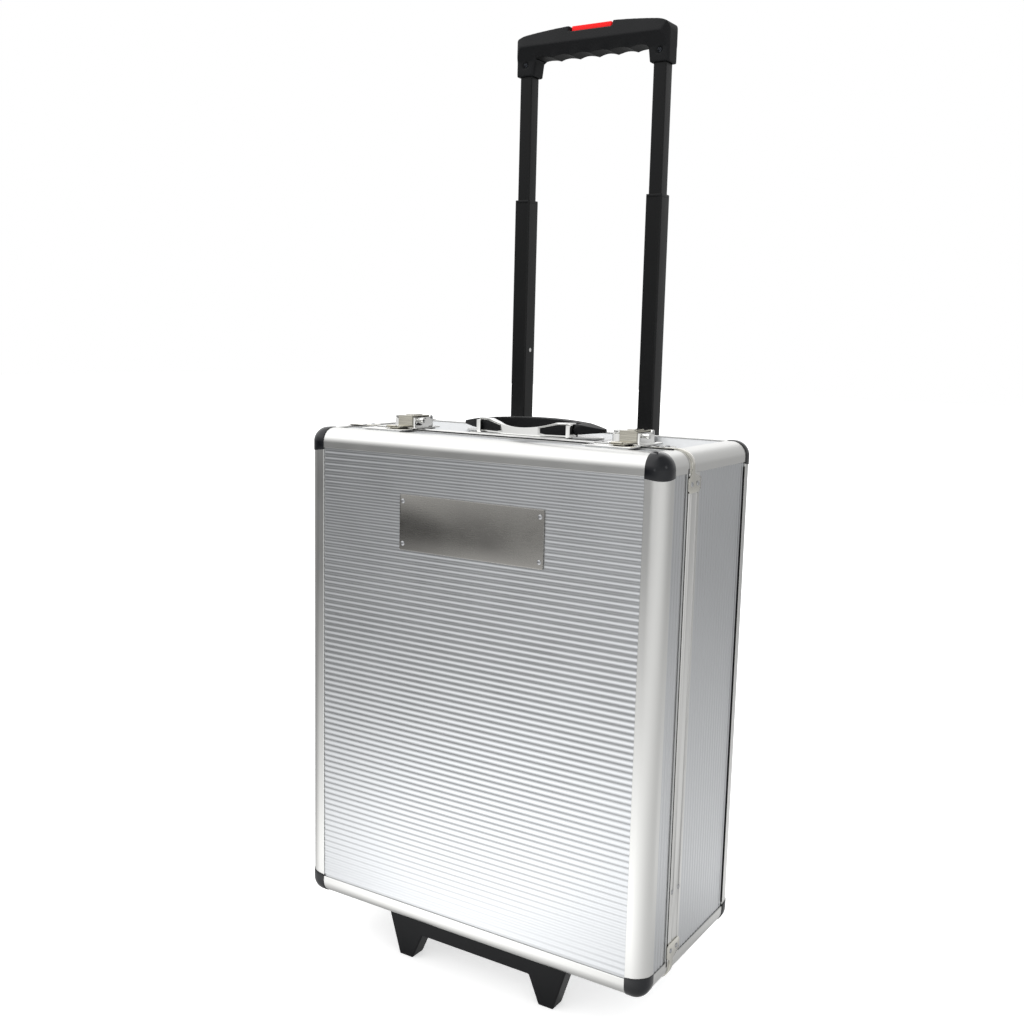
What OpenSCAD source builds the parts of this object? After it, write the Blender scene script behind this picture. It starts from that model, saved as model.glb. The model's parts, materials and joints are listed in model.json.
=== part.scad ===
// Rolling art supply case: ribbed aluminium panels in extruded edges, a front lid
// hinged along its bottom edge, a carry handle, two latches and a pull-up trolley.
// Millimetres. Z is up, the lid faces -Y, the feet and wheels stand on Z = 0.

/* [Case] */
// Width of the case over its edge extrusions
case_w = 363; // [300:1:420]
// Height of the case itself, without feet and trolley
case_h = 455; // [400:1:520]
// Depth of the case, lid included
case_d = 185; // [170:1:240]
// Depth of the front lid
lid_d = 45; // [42:0.5:60]
// Height of the case bottom above the ground
foot_h = 47; // [44:0.5:60]
// Gap between lid and body at the seam
seam_gap = 0.6; // [0.4:0.1:1]

/* [Panels] */
// Thickness of the plywood boards
board_t = 4; // [3:0.1:5]
// Thickness of the aluminium sheet between its ribs
skin_t = 0.6; // [0.5:0.1:0.8]
// Height of the ribs on the sheet
rib_h = 0.3; // [0.3:0.1:0.6]
// Distance from rib to rib
rib_pitch = 5.4; // [4.5:0.1:8]
// Share of the pitch that the raised rib fills
rib_fill = 0.52; // [0.4:0.01:0.6]
// Width of the slope on each side of a rib
rib_ramp = 0.45; // [0.3:0.05:0.6]
// Thickness of the lining glued inside
liner_t = 1.2; // [0.8:0.1:1.2]

/* [Edge extrusions] */
// Outer radius of the rounded edges
edge_r = 13; // [11:0.5:15]
// Width of the flat lips that hold the panels
lip_w = 5; // [4:0.5:7]
// Thickness of the outer lips
lip_t = 1; // [0.8:0.1:1.2]
// Thickness of the inner flanges
flange_t = 1.2; // [1:0.1:1.5]
// Wall of the extrusion round its hollow
edge_wall = 1.5; // [1.2:0.1:2]
// How far the corner caps stand proud of the extrusions
cap_proud = 0.6; // [0.3:0.1:1]

/* [Rim frames] */
// Width of the body's rim frame behind the seam
rim_w = 21.5; // [19:0.5:26]
// Thickness of the webs that close the rims
web_t = 1.2; // [1:0.1:1.5]
// Length of the inner flanges of the rims
rim_flange = 12; // [8:0.5:14]
// Width of the lip along the lid's rim
lid_lip = 2.8; // [2:0.1:4]
// Radius of the two beads on the body's rim frame
bead_r = 2; // [1.6:0.1:2.4]
// Height of the beads above the frame
bead_h = 0.6; // [0.4:0.1:0.8]
// Distance of the first bead behind the seam
bead_y1 = 5.5; // [4:0.5:9]
// Distance of the second bead behind the seam
bead_y2 = 16.5; // [13:0.5:18]
// Length of the tongue that reaches into the lid
tongue_l = 4; // [3:0.5:6]
// Thickness of the tongue
tongue_t = 1.2; // [1:0.1:1.5]
// Clearance between tongue and lid
tongue_gap = 0.4; // [0.3:0.1:0.6]

/* [Seam brackets] */
// Thickness of the chrome corner brackets
brk_t = 1.2; // [0.8:0.1:1.5]
// Distance of the strap behind the rim
brk_strap_y = 3; // [1:0.5:5]
// Width of the strap over the rounded corner
brk_strap = 6; // [4:0.5:8]
// Reach of each shield behind the rim
brk_w = 21.5; // [19:0.5:21.5]
// Overhang of the side shields in front of the rim
brk_over = 2.5; // [0:0.5:3]
// Distance from the corner to the end of each leg
brk_end = 34; // [31:0.5:38]
// Length of the taper between strap and shield
brk_taper = 4; // [3:0.5:6]
// Radius of the rivet heads
rivet_r = 2.2; // [1.5:0.1:2.4]
// Height of the rivet heads
rivet_h = 1; // [0.6:0.1:1.2]

/* [Name plate] */
// Width of the bare plate on the lid
plate_w = 149; // [110:1:180]
// Height of the plate
plate_h = 50; // [40:1:70]
// Thickness of the plate
plate_t = 1.2; // [1:0.1:1.5]
// Distance of the plate's middle below the case top
plate_drop = 78; // [60:1:120]
// Distance of the rivets from the plate's side edges
plate_inset_x = 3.6; // [3:0.1:8]
// Distance of the rivets from the plate's top and bottom edges
plate_inset_z = 6; // [3:0.1:8]
// Radius of the plate's corners
plate_corner = 1.5; // [1:0.1:2.5]

/* [Foot bar] */
// Width of the foot bar at its top
foot_w = 200; // [180:1:215]
// Depth of the foot bar
foot_d = 17; // [14:0.5:20]
// Distance of the foot bar behind the lid's front face
foot_y = 20.4; // [19:0.1:22]
// Width of each foot at the ground
foot_tip = 15; // [12:0.5:20]
// How much each foot tapers in on its outer side
foot_taper = 15; // [10:0.5:20]
// Height of the bar between the feet
foot_bar_h = 21.5; // [15:0.5:25]
// Sideways run of the sloping inner edge of each foot
foot_slope = 11; // [8:0.5:14]

/* [Hinges] */
// Greatest length of each of the two hinges
hinge_max = 44; // [30:1:60]
// Width of each leaf from the seam
leaf_w = 18; // [14:0.5:20]
// Thickness of the leaves
leaf_t = 1.5; // [1.2:0.1:1.8]
// Radius of the knuckles
knuckle_r = 2.8; // [2.5:0.1:3]
// Radius of the hinge pins
hinge_pin_r = 1.5; // [1.3:0.1:1.6]
// Gap between neighbouring knuckles
knuckle_gap = 0.3; // [0.2:0.05:0.5]

/* [Lid stays] */
// Angle at which the stays hold the lid
lid_open = 95; // [90:1:95]
// Width of the stay links
stay_w = 9; // [7:0.5:11]
// Thickness of the stay links
stay_t = 1.5; // [1.2:0.1:1.8]
// Body pivot, distance behind the seam
stay_body_y = 22; // [21:0.5:23]
// Body pivot, height above the hinge axis
stay_body_z = 51; // [50:0.5:52]
// Lid pivot, distance in front of the seam
stay_lid_y = 28; // [27:0.5:29]
// Lid pivot, height above the hinge axis
stay_lid_z = 51.5; // [50.5:0.5:52.5]
// Radius of the stay pivots
stay_pin_r = 2.4; // [2:0.1:2.8]
// Height of the stays' rivets above the case bottom
stay_rivet_z = 80; // [70:1:100]

/* [Latches] */
// Distance of each latch's middle from the side of the case
latch_side = 65.5; // [60:0.5:75]
// Width of the latch base
latch_w = 46; // [44:1:52]
// Depth of the latch base
latch_d = 40; // [38:0.5:44]
// Thickness of the latch plates
latch_t = 1.2; // [1:0.1:1.5]
// Distance of the latch base behind the seam
latch_y = 1; // [0.8:0.1:2]
// Height of the raised latch housing
latch_h = 8.5; // [7.5:0.1:9]
// Distance of the housing behind the seam
house_y = 11; // [9:0.5:13]
// Width of the hasp
hasp_w = 16; // [14:0.5:18]
// Radius of the hasp's knuckles
hasp_r = 2.6; // [2.2:0.1:2.8]
// Radius of the hasp's pin
hasp_pin_r = 1.2; // [1:0.1:1.4]
// Radius of the key barrel
barrel_r = 4.5; // [4:0.1:5]
// Distance of the key barrel behind the seam
barrel_y = 23; // [20:0.5:24]
// Radius of the push button
push_r = 1.7; // [1.4:0.1:1.8]
// Travel of the push button
push_travel = 4; // [3:0.5:4]
// Depth of the keeper on the lid
keeper_d = 20; // [18:0.5:24]
// Height of the keeper above the case top
keeper_h = 1.2; // [0.8:0.1:1.6]

/* [Carry handle] */
// Length of the handle over its rounded tips
handle_l = 152; // [142:1:156]
// Distance of the handle's front apex behind the lid's front face
handle_front = 77.5; // [74:0.5:80]
// Depth of the handle from front apex to rear apex
handle_d = 48; // [44:0.5:52]
// Distance of the tips behind the front apex
handle_tip = 26; // [24:0.5:28]
// Depth of the rear grip band
band_d = 13; // [10:0.5:15]
// Height of the grip band in its middle
band_h = 13.5; // [12:0.5:16]
// How much lower the grip's top is at its tips
tip_fall = 4; // [1:0.5:5]
// How much higher the grip's underside is at its tips
tip_rise = 3; // [1:0.5:4]
// Radius of the rounded tips
tip_r = 5; // [4:0.5:6]
// Half width of the chrome base between the end lobes
bow_x = 49.5; // [46:0.5:54]
// Height of the chrome base at its ends
bow_h = 12.5; // [11:0.5:14]
// Height of the chrome base in its middle
bow_dip = 6.5; // [5:0.5:8]
// Thickness of the chrome base from front to back
bow_t = 8; // [6:0.5:10]
// Radius of the handle's pivot pins
handle_pin_r = 2; // [1.6:0.1:2.4]

/* [Trolley tubes] */
// Distance between the middles of the two tubes
tube_span = 142.6; // [130:0.1:150]
// Width of the fixed tube
fixed_w = 19.8; // [19.6:0.1:21]
// Depth of the fixed tube
fixed_d = 21.7; // [21.4:0.1:23]
// Width of the middle tube
mid_w = 16.2; // [15.8:0.1:16.4]
// Depth of the middle tube
mid_d = 17.8; // [17.2:0.1:18]
// Width of the inner tube
inner_w = 13; // [12.4:0.1:13]
// Depth of the inner tube
inner_d = 14.2; // [13.4:0.1:14.4]
// Wall of the tubes
tube_wall = 1.3; // [1.1:0.1:1.4]
// Radius of the tubes' outer corners
tube_corner = 1.6; // [1.5:0.1:2]
// Gap between the case and the fixed tubes
tube_gap = 0.6; // [0.3:0.1:1]
// Height of the middle tubes' tops above the case when drawn out
mid_out = 220.5; // [180:0.5:240]
// Overlap of the middle tubes with the fixed ones when drawn out
mid_lap = 45; // [40:1:60]
// Visible length of the inner tubes when drawn out
inner_out = 116.5; // [90:0.5:125]
// Overlap of the inner tubes with the middle ones when drawn out
inner_lap = 156; // [140:1:160]
// Distance of the fixed tubes' tops below the case top
fixed_drop = 8; // [6:0.5:12]

/* [Pull grip] */
// Width of the grip over its ends
grip_w = 162; // [161:1:172]
// Height of the grip from the socket ends to the top
grip_h = 42; // [38:0.5:46]
// Height of the sockets below the bar's underside
socket_h = 14.5; // [13:0.5:16]
// Depth of the bar at its crease
bar_d = 30; // [28:0.5:34]
// Depth of the bar at its top and underside
bar_top_d = 19; // [19:0.5:22]
// Distance of the crease below the top
crease_z = 16; // [14:0.5:18]
// Rise of the arched top between ends and middle
grip_arch = 6; // [4:0.5:8]
// Radius of the bar's ends seen from above
grip_corner = 9; // [6:0.5:9]
// Size of the sockets round the inner tubes
socket_w = 19.4; // [18.5:0.1:19.4]
// Number of finger scallops under the bar
scallops = 5; // [4:1:6]
// Depth of the finger scallops
scallop_depth = 2; // [1:0.1:2.5]
// Length of the red release button
button_l = 42; // [36:1:50]
// Width of the release button
button_w = 17; // [15:0.5:18]
// Depth of the notch that shows the button
notch_d = 6; // [4.5:0.5:7]
// Travel of the release button
button_travel = 3; // [2:0.5:3]
// Radius of the release rods
rod_r = 2; // [1.5:0.1:2.5]

/* [Wheels] */
// Radius of the wheels
wheel_r = 25; // [23:0.5:26]
// Width of the wheels
wheel_w = 20; // [16:0.5:20]
// Distance of each wheel's middle from the centre
wheel_x = 100; // [98:1:104]
// Distance of the axle behind the case
axle_y = 9; // [8:0.5:14]
// Radius of the axle
axle_r = 3; // [2.5:0.1:3.5]
// Radius of the wheel hub under the tyre
hub_r = 17; // [15:0.5:18]
// Thickness of the fork cheeks and back plate
housing_t = 3; // [2.5:0.1:3]
// Height of the wheel housings above the case bottom
housing_h = 42; // [38:1:60]

/* [Hidden] */
$fn = 64;

EPS = 0.01;                                   // overlap of shapes joined into one solid
RUN = 0.05;                                   // running clearance of a pin in its hole
GAP = 0.3;                                    // clearance between moving faces

hw = case_w / 2;
zc0 = foot_h;
zc1 = foot_h + case_h;
zm = foot_h + case_h / 2;

slot_t = rib_h + skin_t + board_t;            // thickness of a whole panel
lip_end = edge_r + lip_w;                     // reach of the extrusions over each face
slot_in = edge_r - 1;                         // bottom of the panel slots
panel_in = slot_in + 0.5;                     // edge of the panels, with room in the slot
skin_back = lip_t + rib_h + skin_t;           // depth of the sheet's back
board_back = lip_t + slot_t;                  // depth of the boards' back
inside = board_back + flange_t;               // depth of the flanges' inner side
liner_in = lip_end + 0.3;                     // edge of the lining beside the flanges

front_proud = max(plate_t - lip_t + rivet_h, cap_proud);
wheel_back = axle_y + wheel_r;
y_front = front_proud - (front_proud + case_d + wheel_back) / 2;
y_back = y_front + case_d;
y_seam = y_front + lid_d;
y_lid = y_seam - seam_gap / 2;                // the lid's rim
y_body = y_seam + seam_gap / 2;               // the body's rim

// ---- helpers -------------------------------------------------------------

// Repeats its children on both sides of X = 0
module pair_x() { for (s = [0, 1]) mirror([s, 0, 0]) children(); }

// Repeats its children at the bottom and the top of the case
module pair_z() {
    for (s = [0, 1]) translate([0, 0, zm]) mirror([0, 0, s]) translate([0, 0, -zm]) children();
}

// Repeats its children at all four corners of the front view
module quad() { pair_z() pair_x() children(); }

// A box from one corner to the other
module span(a, b) { translate(a) cube(b - a); }

// A rectangle with round corners, centred
module round_rect(w, h, r) {
    square([w - 2 * r, h], center = true);
    square([w, h - 2 * r], center = true);
    for (x = [-1, 1], y = [-1, 1]) translate([x * (w / 2 - r), y * (h / 2 - r)]) circle(r);
}

// A domed rivet head standing on z = 0
module dome(r, h) {
    big = (r * r + h * h) / (2 * h);
    rotate_extrude() intersection() {
        translate([0, h - big]) circle(big);
        square([r, h]);
    }
}

// Turns a shape drawn on z = 0 to stand on a face that looks along -Y
module face_front() { rotate([90, 0, 0]) children(); }

// Turns a shape drawn on z = 0 to stand on a face that looks along -X
module face_left() { rotate([0, -90, 0]) children(); }

// ---- edge extrusions and corner caps ---------------------------------------

// Section of an edge extrusion: its corner is the origin and its lips run along +X and +Y
module edge_section() {
    difference() {
        intersection() {
            square(lip_end);
            union() {
                translate([edge_r, edge_r]) circle(edge_r);
                translate([edge_r, 0]) square([lip_w, lip_end]);
                translate([0, edge_r]) square([lip_end, lip_w]);
            }
        }
        translate([slot_in, lip_t]) square([lip_end, slot_t]);
        translate([lip_t, slot_in]) square([slot_t, lip_end]);
        translate([inside, inside]) square(lip_end);
        difference() {
            intersection() {
                translate([edge_r, edge_r]) circle(edge_r - edge_wall);
                square(slot_in - edge_wall);
            }
            translate([inside - 2 * edge_wall, inside - 2 * edge_wall]) square(lip_end);
        }
    }
}

// Upright edge with its corner at the origin, running up
module edge_up(l) { linear_extrude(l) edge_section(); }

// Level edge that runs along +X, with lips along +Y and +Z
module edge_along_x(l) { rotate([90, 0, 90]) linear_extrude(l) edge_section(); }

// Level edge that runs along +Y, with lips along +X and +Z
module edge_along_y(l) { translate([0, l, 0]) rotate([90, 0, 0]) linear_extrude(l) edge_section(); }

// The four edges round the front face of the lid
module front_edges() {
    pair_x() translate([-hw, y_front, zc0 + lip_end]) edge_up(case_h - 2 * lip_end);
    pair_z() translate([-hw + lip_end, y_front, zc0]) edge_along_x(case_w - 2 * lip_end);
}

// Rounded corner block from the outer corner inwards, before the panels are cut out
module cap_block() {
    r = edge_r + cap_proud;
    e = lip_end;
    intersection() {
        translate(-cap_proud * [1, 1, 1]) cube(e + cap_proud);
        union() {
            translate(edge_r * [1, 1, 1]) sphere(r);
            translate(edge_r * [1, 1, 1]) cylinder(h = e, r = r);
            translate(edge_r * [1, 1, 1]) rotate([0, 90, 0]) cylinder(h = e, r = r);
            translate(edge_r * [1, 1, 1]) rotate([-90, 0, 0]) cylinder(h = e, r = r);
            translate([edge_r, edge_r, -e]) cube([e, e, 2 * e]);
            translate([edge_r, -e, edge_r]) cube([e, 2 * e, e]);
            translate([-e, edge_r, edge_r]) cube([2 * e, e, e]);
        }
    }
}

// One ball corner: the corner block less the panels' slots and the room inside
module corner_cap() {
    difference() {
        cap_block();
        span([slot_in, slot_in, lip_t], [case_w, case_d, board_back]);
        span([slot_in, lip_t, slot_in], [case_w, board_back, case_h]);
        span([lip_t, slot_in, slot_in], [board_back, case_d, case_h]);
        translate(inside * [1, 1, 1]) cube(lip_end);
    }
}

module body_back_extrusions() color("silver") translate([0, 2 * y_front + case_d, 0])
    mirror([0, 1, 0]) front_edges();

module lid_front_extrusions() color("silver") front_edges();

module body_depth_extrusions() color("silver") quad()
    translate([-hw, y_body, zc0]) edge_along_y(y_back - lip_end - y_body);

module lid_depth_extrusions() color("silver") quad()
    translate([-hw, y_front + lip_end, zc0]) edge_along_y(y_lid - y_front - lip_end);

module body_corner_caps() color("#232528") quad()
    translate([-hw, y_back, zc0]) mirror([0, 1, 0]) corner_cap();

module lid_corner_caps() color("#232528") quad() translate([-hw, y_front, zc0]) corner_cap();

// ---- ribbed panels, boards and lining ----------------------------------------

// Section across a ribbed sheet of width w, its back on y = 0
function rib_points(w) = let (
    n = floor((w - 2) / rib_pitch),
    m = (w - n * rib_pitch) / 2,
    crest = rib_pitch * rib_fill - rib_ramp
) concat(
    [[0, 0], [0, skin_t]],
    [for (i = [0:n - 1], p = [
        [0, 0], [rib_ramp, rib_h], [rib_ramp + crest, rib_h], [2 * rib_ramp + crest, 0],
    ]) [m + i * rib_pitch + p[0], skin_t + p[1]]],
    [[w, skin_t], [w, 0]]
);

// Ribbed sheet: ribs run along +Z, width along +X, and the ribs stand up along +Y
module ribbed(w, l) { linear_extrude(l) polygon(rib_points(w)); }

// Sheet on the front face, or on the back face when mirrored
module face_sheet() {
    translate([-hw + panel_in, y_front + skin_back, zc0 + panel_in])
        rotate([180, -90, 0]) ribbed(case_h - 2 * panel_in, case_w - 2 * panel_in);
}

// The four sheets round the case between two depths
module wall_sheets(ya, yb) {
    pair_x() translate([-hw + skin_back, ya, zc0 + panel_in])
        rotate([0, 0, 90]) ribbed(yb - ya, case_h - 2 * panel_in);
    pair_z() translate([-hw + panel_in, yb, zc0 + skin_back])
        rotate([-90, 0, -90]) ribbed(yb - ya, case_w - 2 * panel_in);
}

// The four boards round the case between two depths
module wall_boards(ya, yb) {
    pair_x() span([-hw + skin_back, ya, zc0 + panel_in], [-hw + board_back, yb, zc1 - panel_in]);
    pair_z() span([-hw + panel_in, ya, zc0 + skin_back], [hw - panel_in, yb, zc0 + board_back]);
}

// The board behind the front sheet
module face_board() {
    span([-hw + panel_in, y_front + skin_back, zc0 + panel_in],
        [hw - panel_in, y_front + board_back, zc1 - panel_in]);
}

// Lining of the four walls between two depths
module wall_liner(ya, yb) {
    d = board_back + liner_t;
    pair_x() span([-hw + board_back, ya, zc0 + liner_in], [-hw + d, yb, zc1 - liner_in]);
    pair_z() span([-hw + liner_in, ya, zc0 + board_back], [hw - liner_in, yb, zc0 + d]);
}

// Lining of the front face
module face_liner() {
    span([-hw + liner_in, y_front + board_back, zc0 + liner_in],
        [hw - liner_in, y_front + board_back + liner_t, zc1 - liner_in]);
}

// Mirrors the front face's pieces to the back face
module to_back() { translate([0, 2 * y_front + case_d, 0]) mirror([0, 1, 0]) children(); }

body_wall_y = y_body + web_t;                 // front edge of the body's wall panels
lid_wall_y = y_lid - web_t;                   // rear edge of the lid's wall panels
liner_body_y = y_body + rim_flange + 0.3;
liner_lid_y = y_lid - rim_flange - 0.3;

module back_panel() color("lightgray") to_back() face_sheet();
module lid_front_panel() color("lightgray") face_sheet();
module body_wall_panels() color("lightgray") wall_sheets(body_wall_y, y_back - panel_in);
module lid_wall_panels() color("lightgray") wall_sheets(y_front + panel_in, lid_wall_y);

module body_boards() color("burlywood") {
    to_back() face_board();
    wall_boards(body_wall_y, y_back - panel_in);
}

module lid_boards() color("burlywood") {
    face_board();
    wall_boards(y_front + panel_in, lid_wall_y);
}

module body_liner() color("#2b2d30") {
    to_back() face_liner();
    wall_liner(liner_body_y, y_back - liner_in);
}

module lid_liner() color("#2b2d30") {
    face_liner();
    wall_liner(y_front + liner_in, liner_lid_y);
}

// ---- rim frames ------------------------------------------------------------

// Section of the body's rim: X is the depth from the outer face, Y runs back from the rim
module body_rim_section() {
    tongue_x = inside + tongue_gap;
    square([lip_t, rim_w]);
    square([tongue_x + tongue_t, web_t]);
    translate([board_back, 0]) square([flange_t, rim_flange]);
    translate([tongue_x, -tongue_l]) square([tongue_t, tongue_l + web_t]);
}

// Section of the two beads that stiffen the body's rim
module bead_section() {
    for (y = [bead_y1, bead_y2]) intersection() {
        translate([bead_r - bead_h, y]) circle(bead_r);
        translate([-bead_h, y - bead_r]) square([bead_h + lip_t, 2 * bead_r]);
    }
}

// Section of the lid's rim: X is the depth from the outer face, Y runs back to the rim at 0
module lid_rim_section() {
    translate([0, -web_t]) square([inside, web_t]);
    translate([0, -lid_lip]) square([lip_t, lid_lip]);
    translate([board_back, -rim_flange]) square([flange_t, rim_flange]);
}

// Runs a rim section up the left side
module rim_up(y, inset) {
    translate([-hw, y, zc0 + inset]) linear_extrude(case_h - 2 * inset) children();
}

// Runs a rim section along the bottom
module rim_level(y, inset) {
    translate([-hw + inset, y, zc0]) mirror([0, 1, 0]) rotate([0, 90, 0])
        linear_extrude(case_w - 2 * inset) mirror([0, 1]) mirror([1, 0]) children();
}

// Places the heads of the rivets that hold a stay, on the left side
module at_stay_rivets() {
    for (y = [3.4, bead_y2]) translate([-hw, y_body + y, zc0 + stay_rivet_z]) face_left() children();
}

module body_rim_frame() color("silver") {
    pair_x() {
        rim_up(y_body, lip_end) body_rim_section();
        difference() {
            rim_up(y_body, brk_end + GAP) bead_section();
            at_stay_rivets() cylinder(h = 2 * bead_h, r = rivet_r + RUN);
        }
    }
    pair_z() rim_level(y_body, lip_end) body_rim_section();
    translate([0, 0, 2 * zm]) mirror([0, 0, 1])
        rim_level(y_body, brk_end + GAP) bead_section();
}

module lid_rim_frame() color("silver") {
    pair_x() rim_up(y_lid, lip_end) lid_rim_section();
    pair_z() rim_level(y_lid, lip_end) lid_rim_section();
}

// ---- seam brackets -----------------------------------------------------------

// Leg of a bracket, drawn flat: X runs away from the corner, Y runs back from the rim
module bracket_leg(over) {
    y1 = brk_strap_y + brk_strap;
    shield = lip_end + brk_taper;
    polygon([
        [edge_r, brk_strap_y], [lip_end, brk_strap_y], [shield, -over], [brk_end - 2, -over],
        [brk_end, 2 - over], [brk_end, brk_w - 3], [brk_end - 3, brk_w], [shield, brk_w],
        [lip_end, y1], [edge_r, y1],
    ]);
}

// Chrome bracket that wraps the body's rounded corner at the seam
module seam_bracket() {
    translate([-hw, y_body, zc0]) {
        translate([edge_r, 0, edge_r]) rotate([-90, 0, 0]) rotate([0, 0, 90])
            rotate_extrude(angle = 90) translate([edge_r, brk_strap_y]) square([brk_t, brk_strap]);
        difference() {
            rotate([0, -90, 0]) linear_extrude(brk_t) bracket_leg(brk_over);
            span([-GAP, -2 * brk_over - 1, 0], [1, -seam_gap, 2 * brk_end]);
        }
        mirror([0, 0, 1]) linear_extrude(brk_t) bracket_leg(0);
    }
}

brk_rivet_x = brk_end - 7;                    // rivet line across each leg
brk_rivets = [3.6, brk_w - 6];                // distances of the rivets behind the rim

module seam_brackets() color("#c8c8c8") quad() seam_bracket();

module bracket_rivets() color("#d8d8d8") {
    quad() for (y = brk_rivets) {
        translate([-hw - brk_t, y_body + y, zc0 + brk_rivet_x]) face_left() dome(rivet_r, rivet_h);
        translate([-hw + brk_rivet_x, y_body + y, zc0 - brk_t]) mirror([0, 0, 1])
            dome(rivet_r, rivet_h);
    }
    pair_x() at_stay_rivets() dome(rivet_r, rivet_h);
}

// ---- lid trim ----------------------------------------------------------------

module name_plate() color("#b9b9b9") translate([0, y_front + lip_t, zc1 - plate_drop])
    face_front() linear_extrude(plate_t) round_rect(plate_w, plate_h, plate_corner);

module plate_rivets() color("#d8d8d8")
    for (x = [-1, 1], z = [-1, 1])
        translate([x * (plate_w / 2 - plate_inset_x), y_front + lip_t - plate_t,
            zc1 - plate_drop + z * (plate_h / 2 - plate_inset_z)])
            face_front() dome(rivet_r, rivet_h);

// Foot bar under the lid: two tapered feet joined by a bar
module foot_bar() {
    tip_x = foot_w / 2 - foot_taper;
    inner = tip_x - foot_tip;
    neck = inner - foot_slope;
    foot_top = zc0 + lip_t;
    color("#2a2c31") translate([0, y_front + foot_y + foot_d, 0]) face_front()
        linear_extrude(foot_d) polygon([
            [-foot_w / 2, foot_top], [-tip_x, 0], [-inner, 0], [-neck, zc0 - foot_bar_h],
            [neck, zc0 - foot_bar_h], [inner, 0], [tip_x, 0], [foot_w / 2, foot_top],
        ]);
}

// ---- hinges --------------------------------------------------------------------

hinge_z = zc0 - knuckle_r - 0.1;              // the lid's axis, just below the case
hinge_x0 = foot_w / 2;                        // room for a hinge: from the foot bar
hinge_x1 = hw - brk_end;                      // to the seam bracket
hinge_x = (hinge_x0 + hinge_x1) / 2;
hinge_l = min(hinge_max, hinge_x1 - hinge_x0 - 2);
KNUCKLES = 5;
knuckle_l = hinge_l / KNUCKLES;

// One leaf on the body's side, with every second knuckle from the first one given
module hinge_leaf(first) {
    reach = knuckle_r + GAP;
    difference() {
        union() {
            span([hinge_x - hinge_l / 2, reach, -leaf_t], [hinge_x + hinge_l / 2, leaf_w, 0]);
            for (i = [first:2:KNUCKLES - 1]) {
                x = hinge_x - hinge_l / 2 + i * knuckle_l + knuckle_gap / 2;
                w = knuckle_l - knuckle_gap;
                span([x, 0, -leaf_t], [x + w, reach + EPS, 0]);
                translate([x, 0, hinge_z - zc0]) rotate([0, 90, 0]) cylinder(h = w, r = knuckle_r);
            }
        }
        translate([hinge_x - hinge_l, 0, hinge_z - zc0]) rotate([0, 90, 0])
            cylinder(h = 2 * hinge_l, r = hinge_pin_r + RUN);
    }
}

module hinge_body_leaves() color("#bdbdbd") pair_x() translate([0, y_seam, zc0]) hinge_leaf(0);

module hinge_lid_leaves() color("#bdbdbd") pair_x()
    translate([0, y_seam, zc0]) mirror([0, 1, 0]) hinge_leaf(1);

module hinge_pins() color("#9a9a9a") pair_x()
    translate([hinge_x - hinge_l / 2, y_seam, hinge_z]) rotate([0, 90, 0])
        cylinder(h = hinge_l, r = hinge_pin_r);

// ---- lid stays -------------------------------------------------------------------

stay_z = hinge_z + stay_body_z;
open_r = sqrt(stay_lid_y * stay_lid_y + stay_lid_z * stay_lid_z);
open_deg = atan2(stay_lid_y, stay_lid_z) + lid_open;
open_y = open_r * sin(open_deg);              // lid pivot in front of the axis, lid open
open_z = open_r * cos(open_deg);              // lid pivot above the axis, lid open
open_run = sqrt(pow(open_y + stay_body_y, 2) + pow(open_z - stay_body_z, 2));
stay_l = open_run / 2 + 0.25;                 // links, nearly straight with the lid open
stay_plate = inside + flange_t;               // depth of the stay brackets' faces
stay_a_x = stay_plate + 1.6;                  // depth where link a starts
stay_b_x = stay_a_x + stay_t + GAP;           // depth where link b starts
stay_run = stay_body_y + stay_lid_y;          // pivot to pivot along Y when shut
stay_rise = stay_lid_z - stay_body_z;
stay_dist = sqrt(stay_run * stay_run + stay_rise * stay_rise);
stay_dir = atan2(stay_run, stay_rise);        // direction to the lid pivot from straight up
stay_fold = acos(stay_dist / (2 * stay_l));
stay_a_deg = stay_dir - stay_fold;            // link a from straight up, towards the lid
stay_b_deg = stay_dir + stay_fold;            // link b from straight up
knee_y = -stay_body_y + stay_l * sin(stay_a_deg);
knee_z = stay_body_z + stay_l * cos(stay_a_deg);

// A stay link from its first pivot upwards, lying on x = 0
module stay_link(pin_at_end) {
    difference() {
        rotate([90, 0, 90]) linear_extrude(stay_t) {
            translate([0, stay_l / 2]) square([stay_w, stay_l], center = true);
            circle(stay_w / 2);
            translate([0, stay_l]) circle(stay_w / 2);
        }
        translate([-EPS, 0, 0]) rotate([0, 90, 0]) cylinder(h = stay_t + 1, r = stay_pin_r + RUN);
    }
    if (pin_at_end) translate([stay_t - EPS, 0, stay_l]) rotate([0, 90, 0])
        cylinder(h = stay_t + 2 * GAP, r = stay_pin_r);
}

// Link a of the left stay, pivoting on the body
module link_a() {
    translate([-hw + stay_a_x, y_seam + stay_body_y, stay_z]) rotate([stay_a_deg, 0, 0])
        stay_link(true);
}

// Link b of the left stay, pivoting on link a's free end
module link_b() {
    translate([-hw + stay_b_x, y_seam - knee_y, hinge_z + knee_z]) rotate([stay_b_deg, 0, 0])
        stay_link(false);
}

module stay_link_a_left() color("#b5b5b5") link_a();
module stay_link_a_right() color("#b5b5b5") mirror([1, 0, 0]) link_a();
module stay_link_b_left() color("#a9a9a9") link_b();
module stay_link_b_right() color("#a9a9a9") mirror([1, 0, 0]) link_b();

// Plate with a stud that carries a stay on the inside of the left wall
module stay_bracket(y, z, stud, y0, y1, z1) {
    translate([-hw + inside, 0, 0]) {
        rotate([90, 0, 90]) linear_extrude(flange_t)
            translate([(y0 + y1) / 2, (z - 0.8 * stay_w + z1) / 2])
                round_rect(y1 - y0, z1 - z + 0.8 * stay_w, 2);
        translate([0, y, z]) rotate([0, 90, 0]) cylinder(h = stud, r = stay_pin_r);
    }
}

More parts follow.
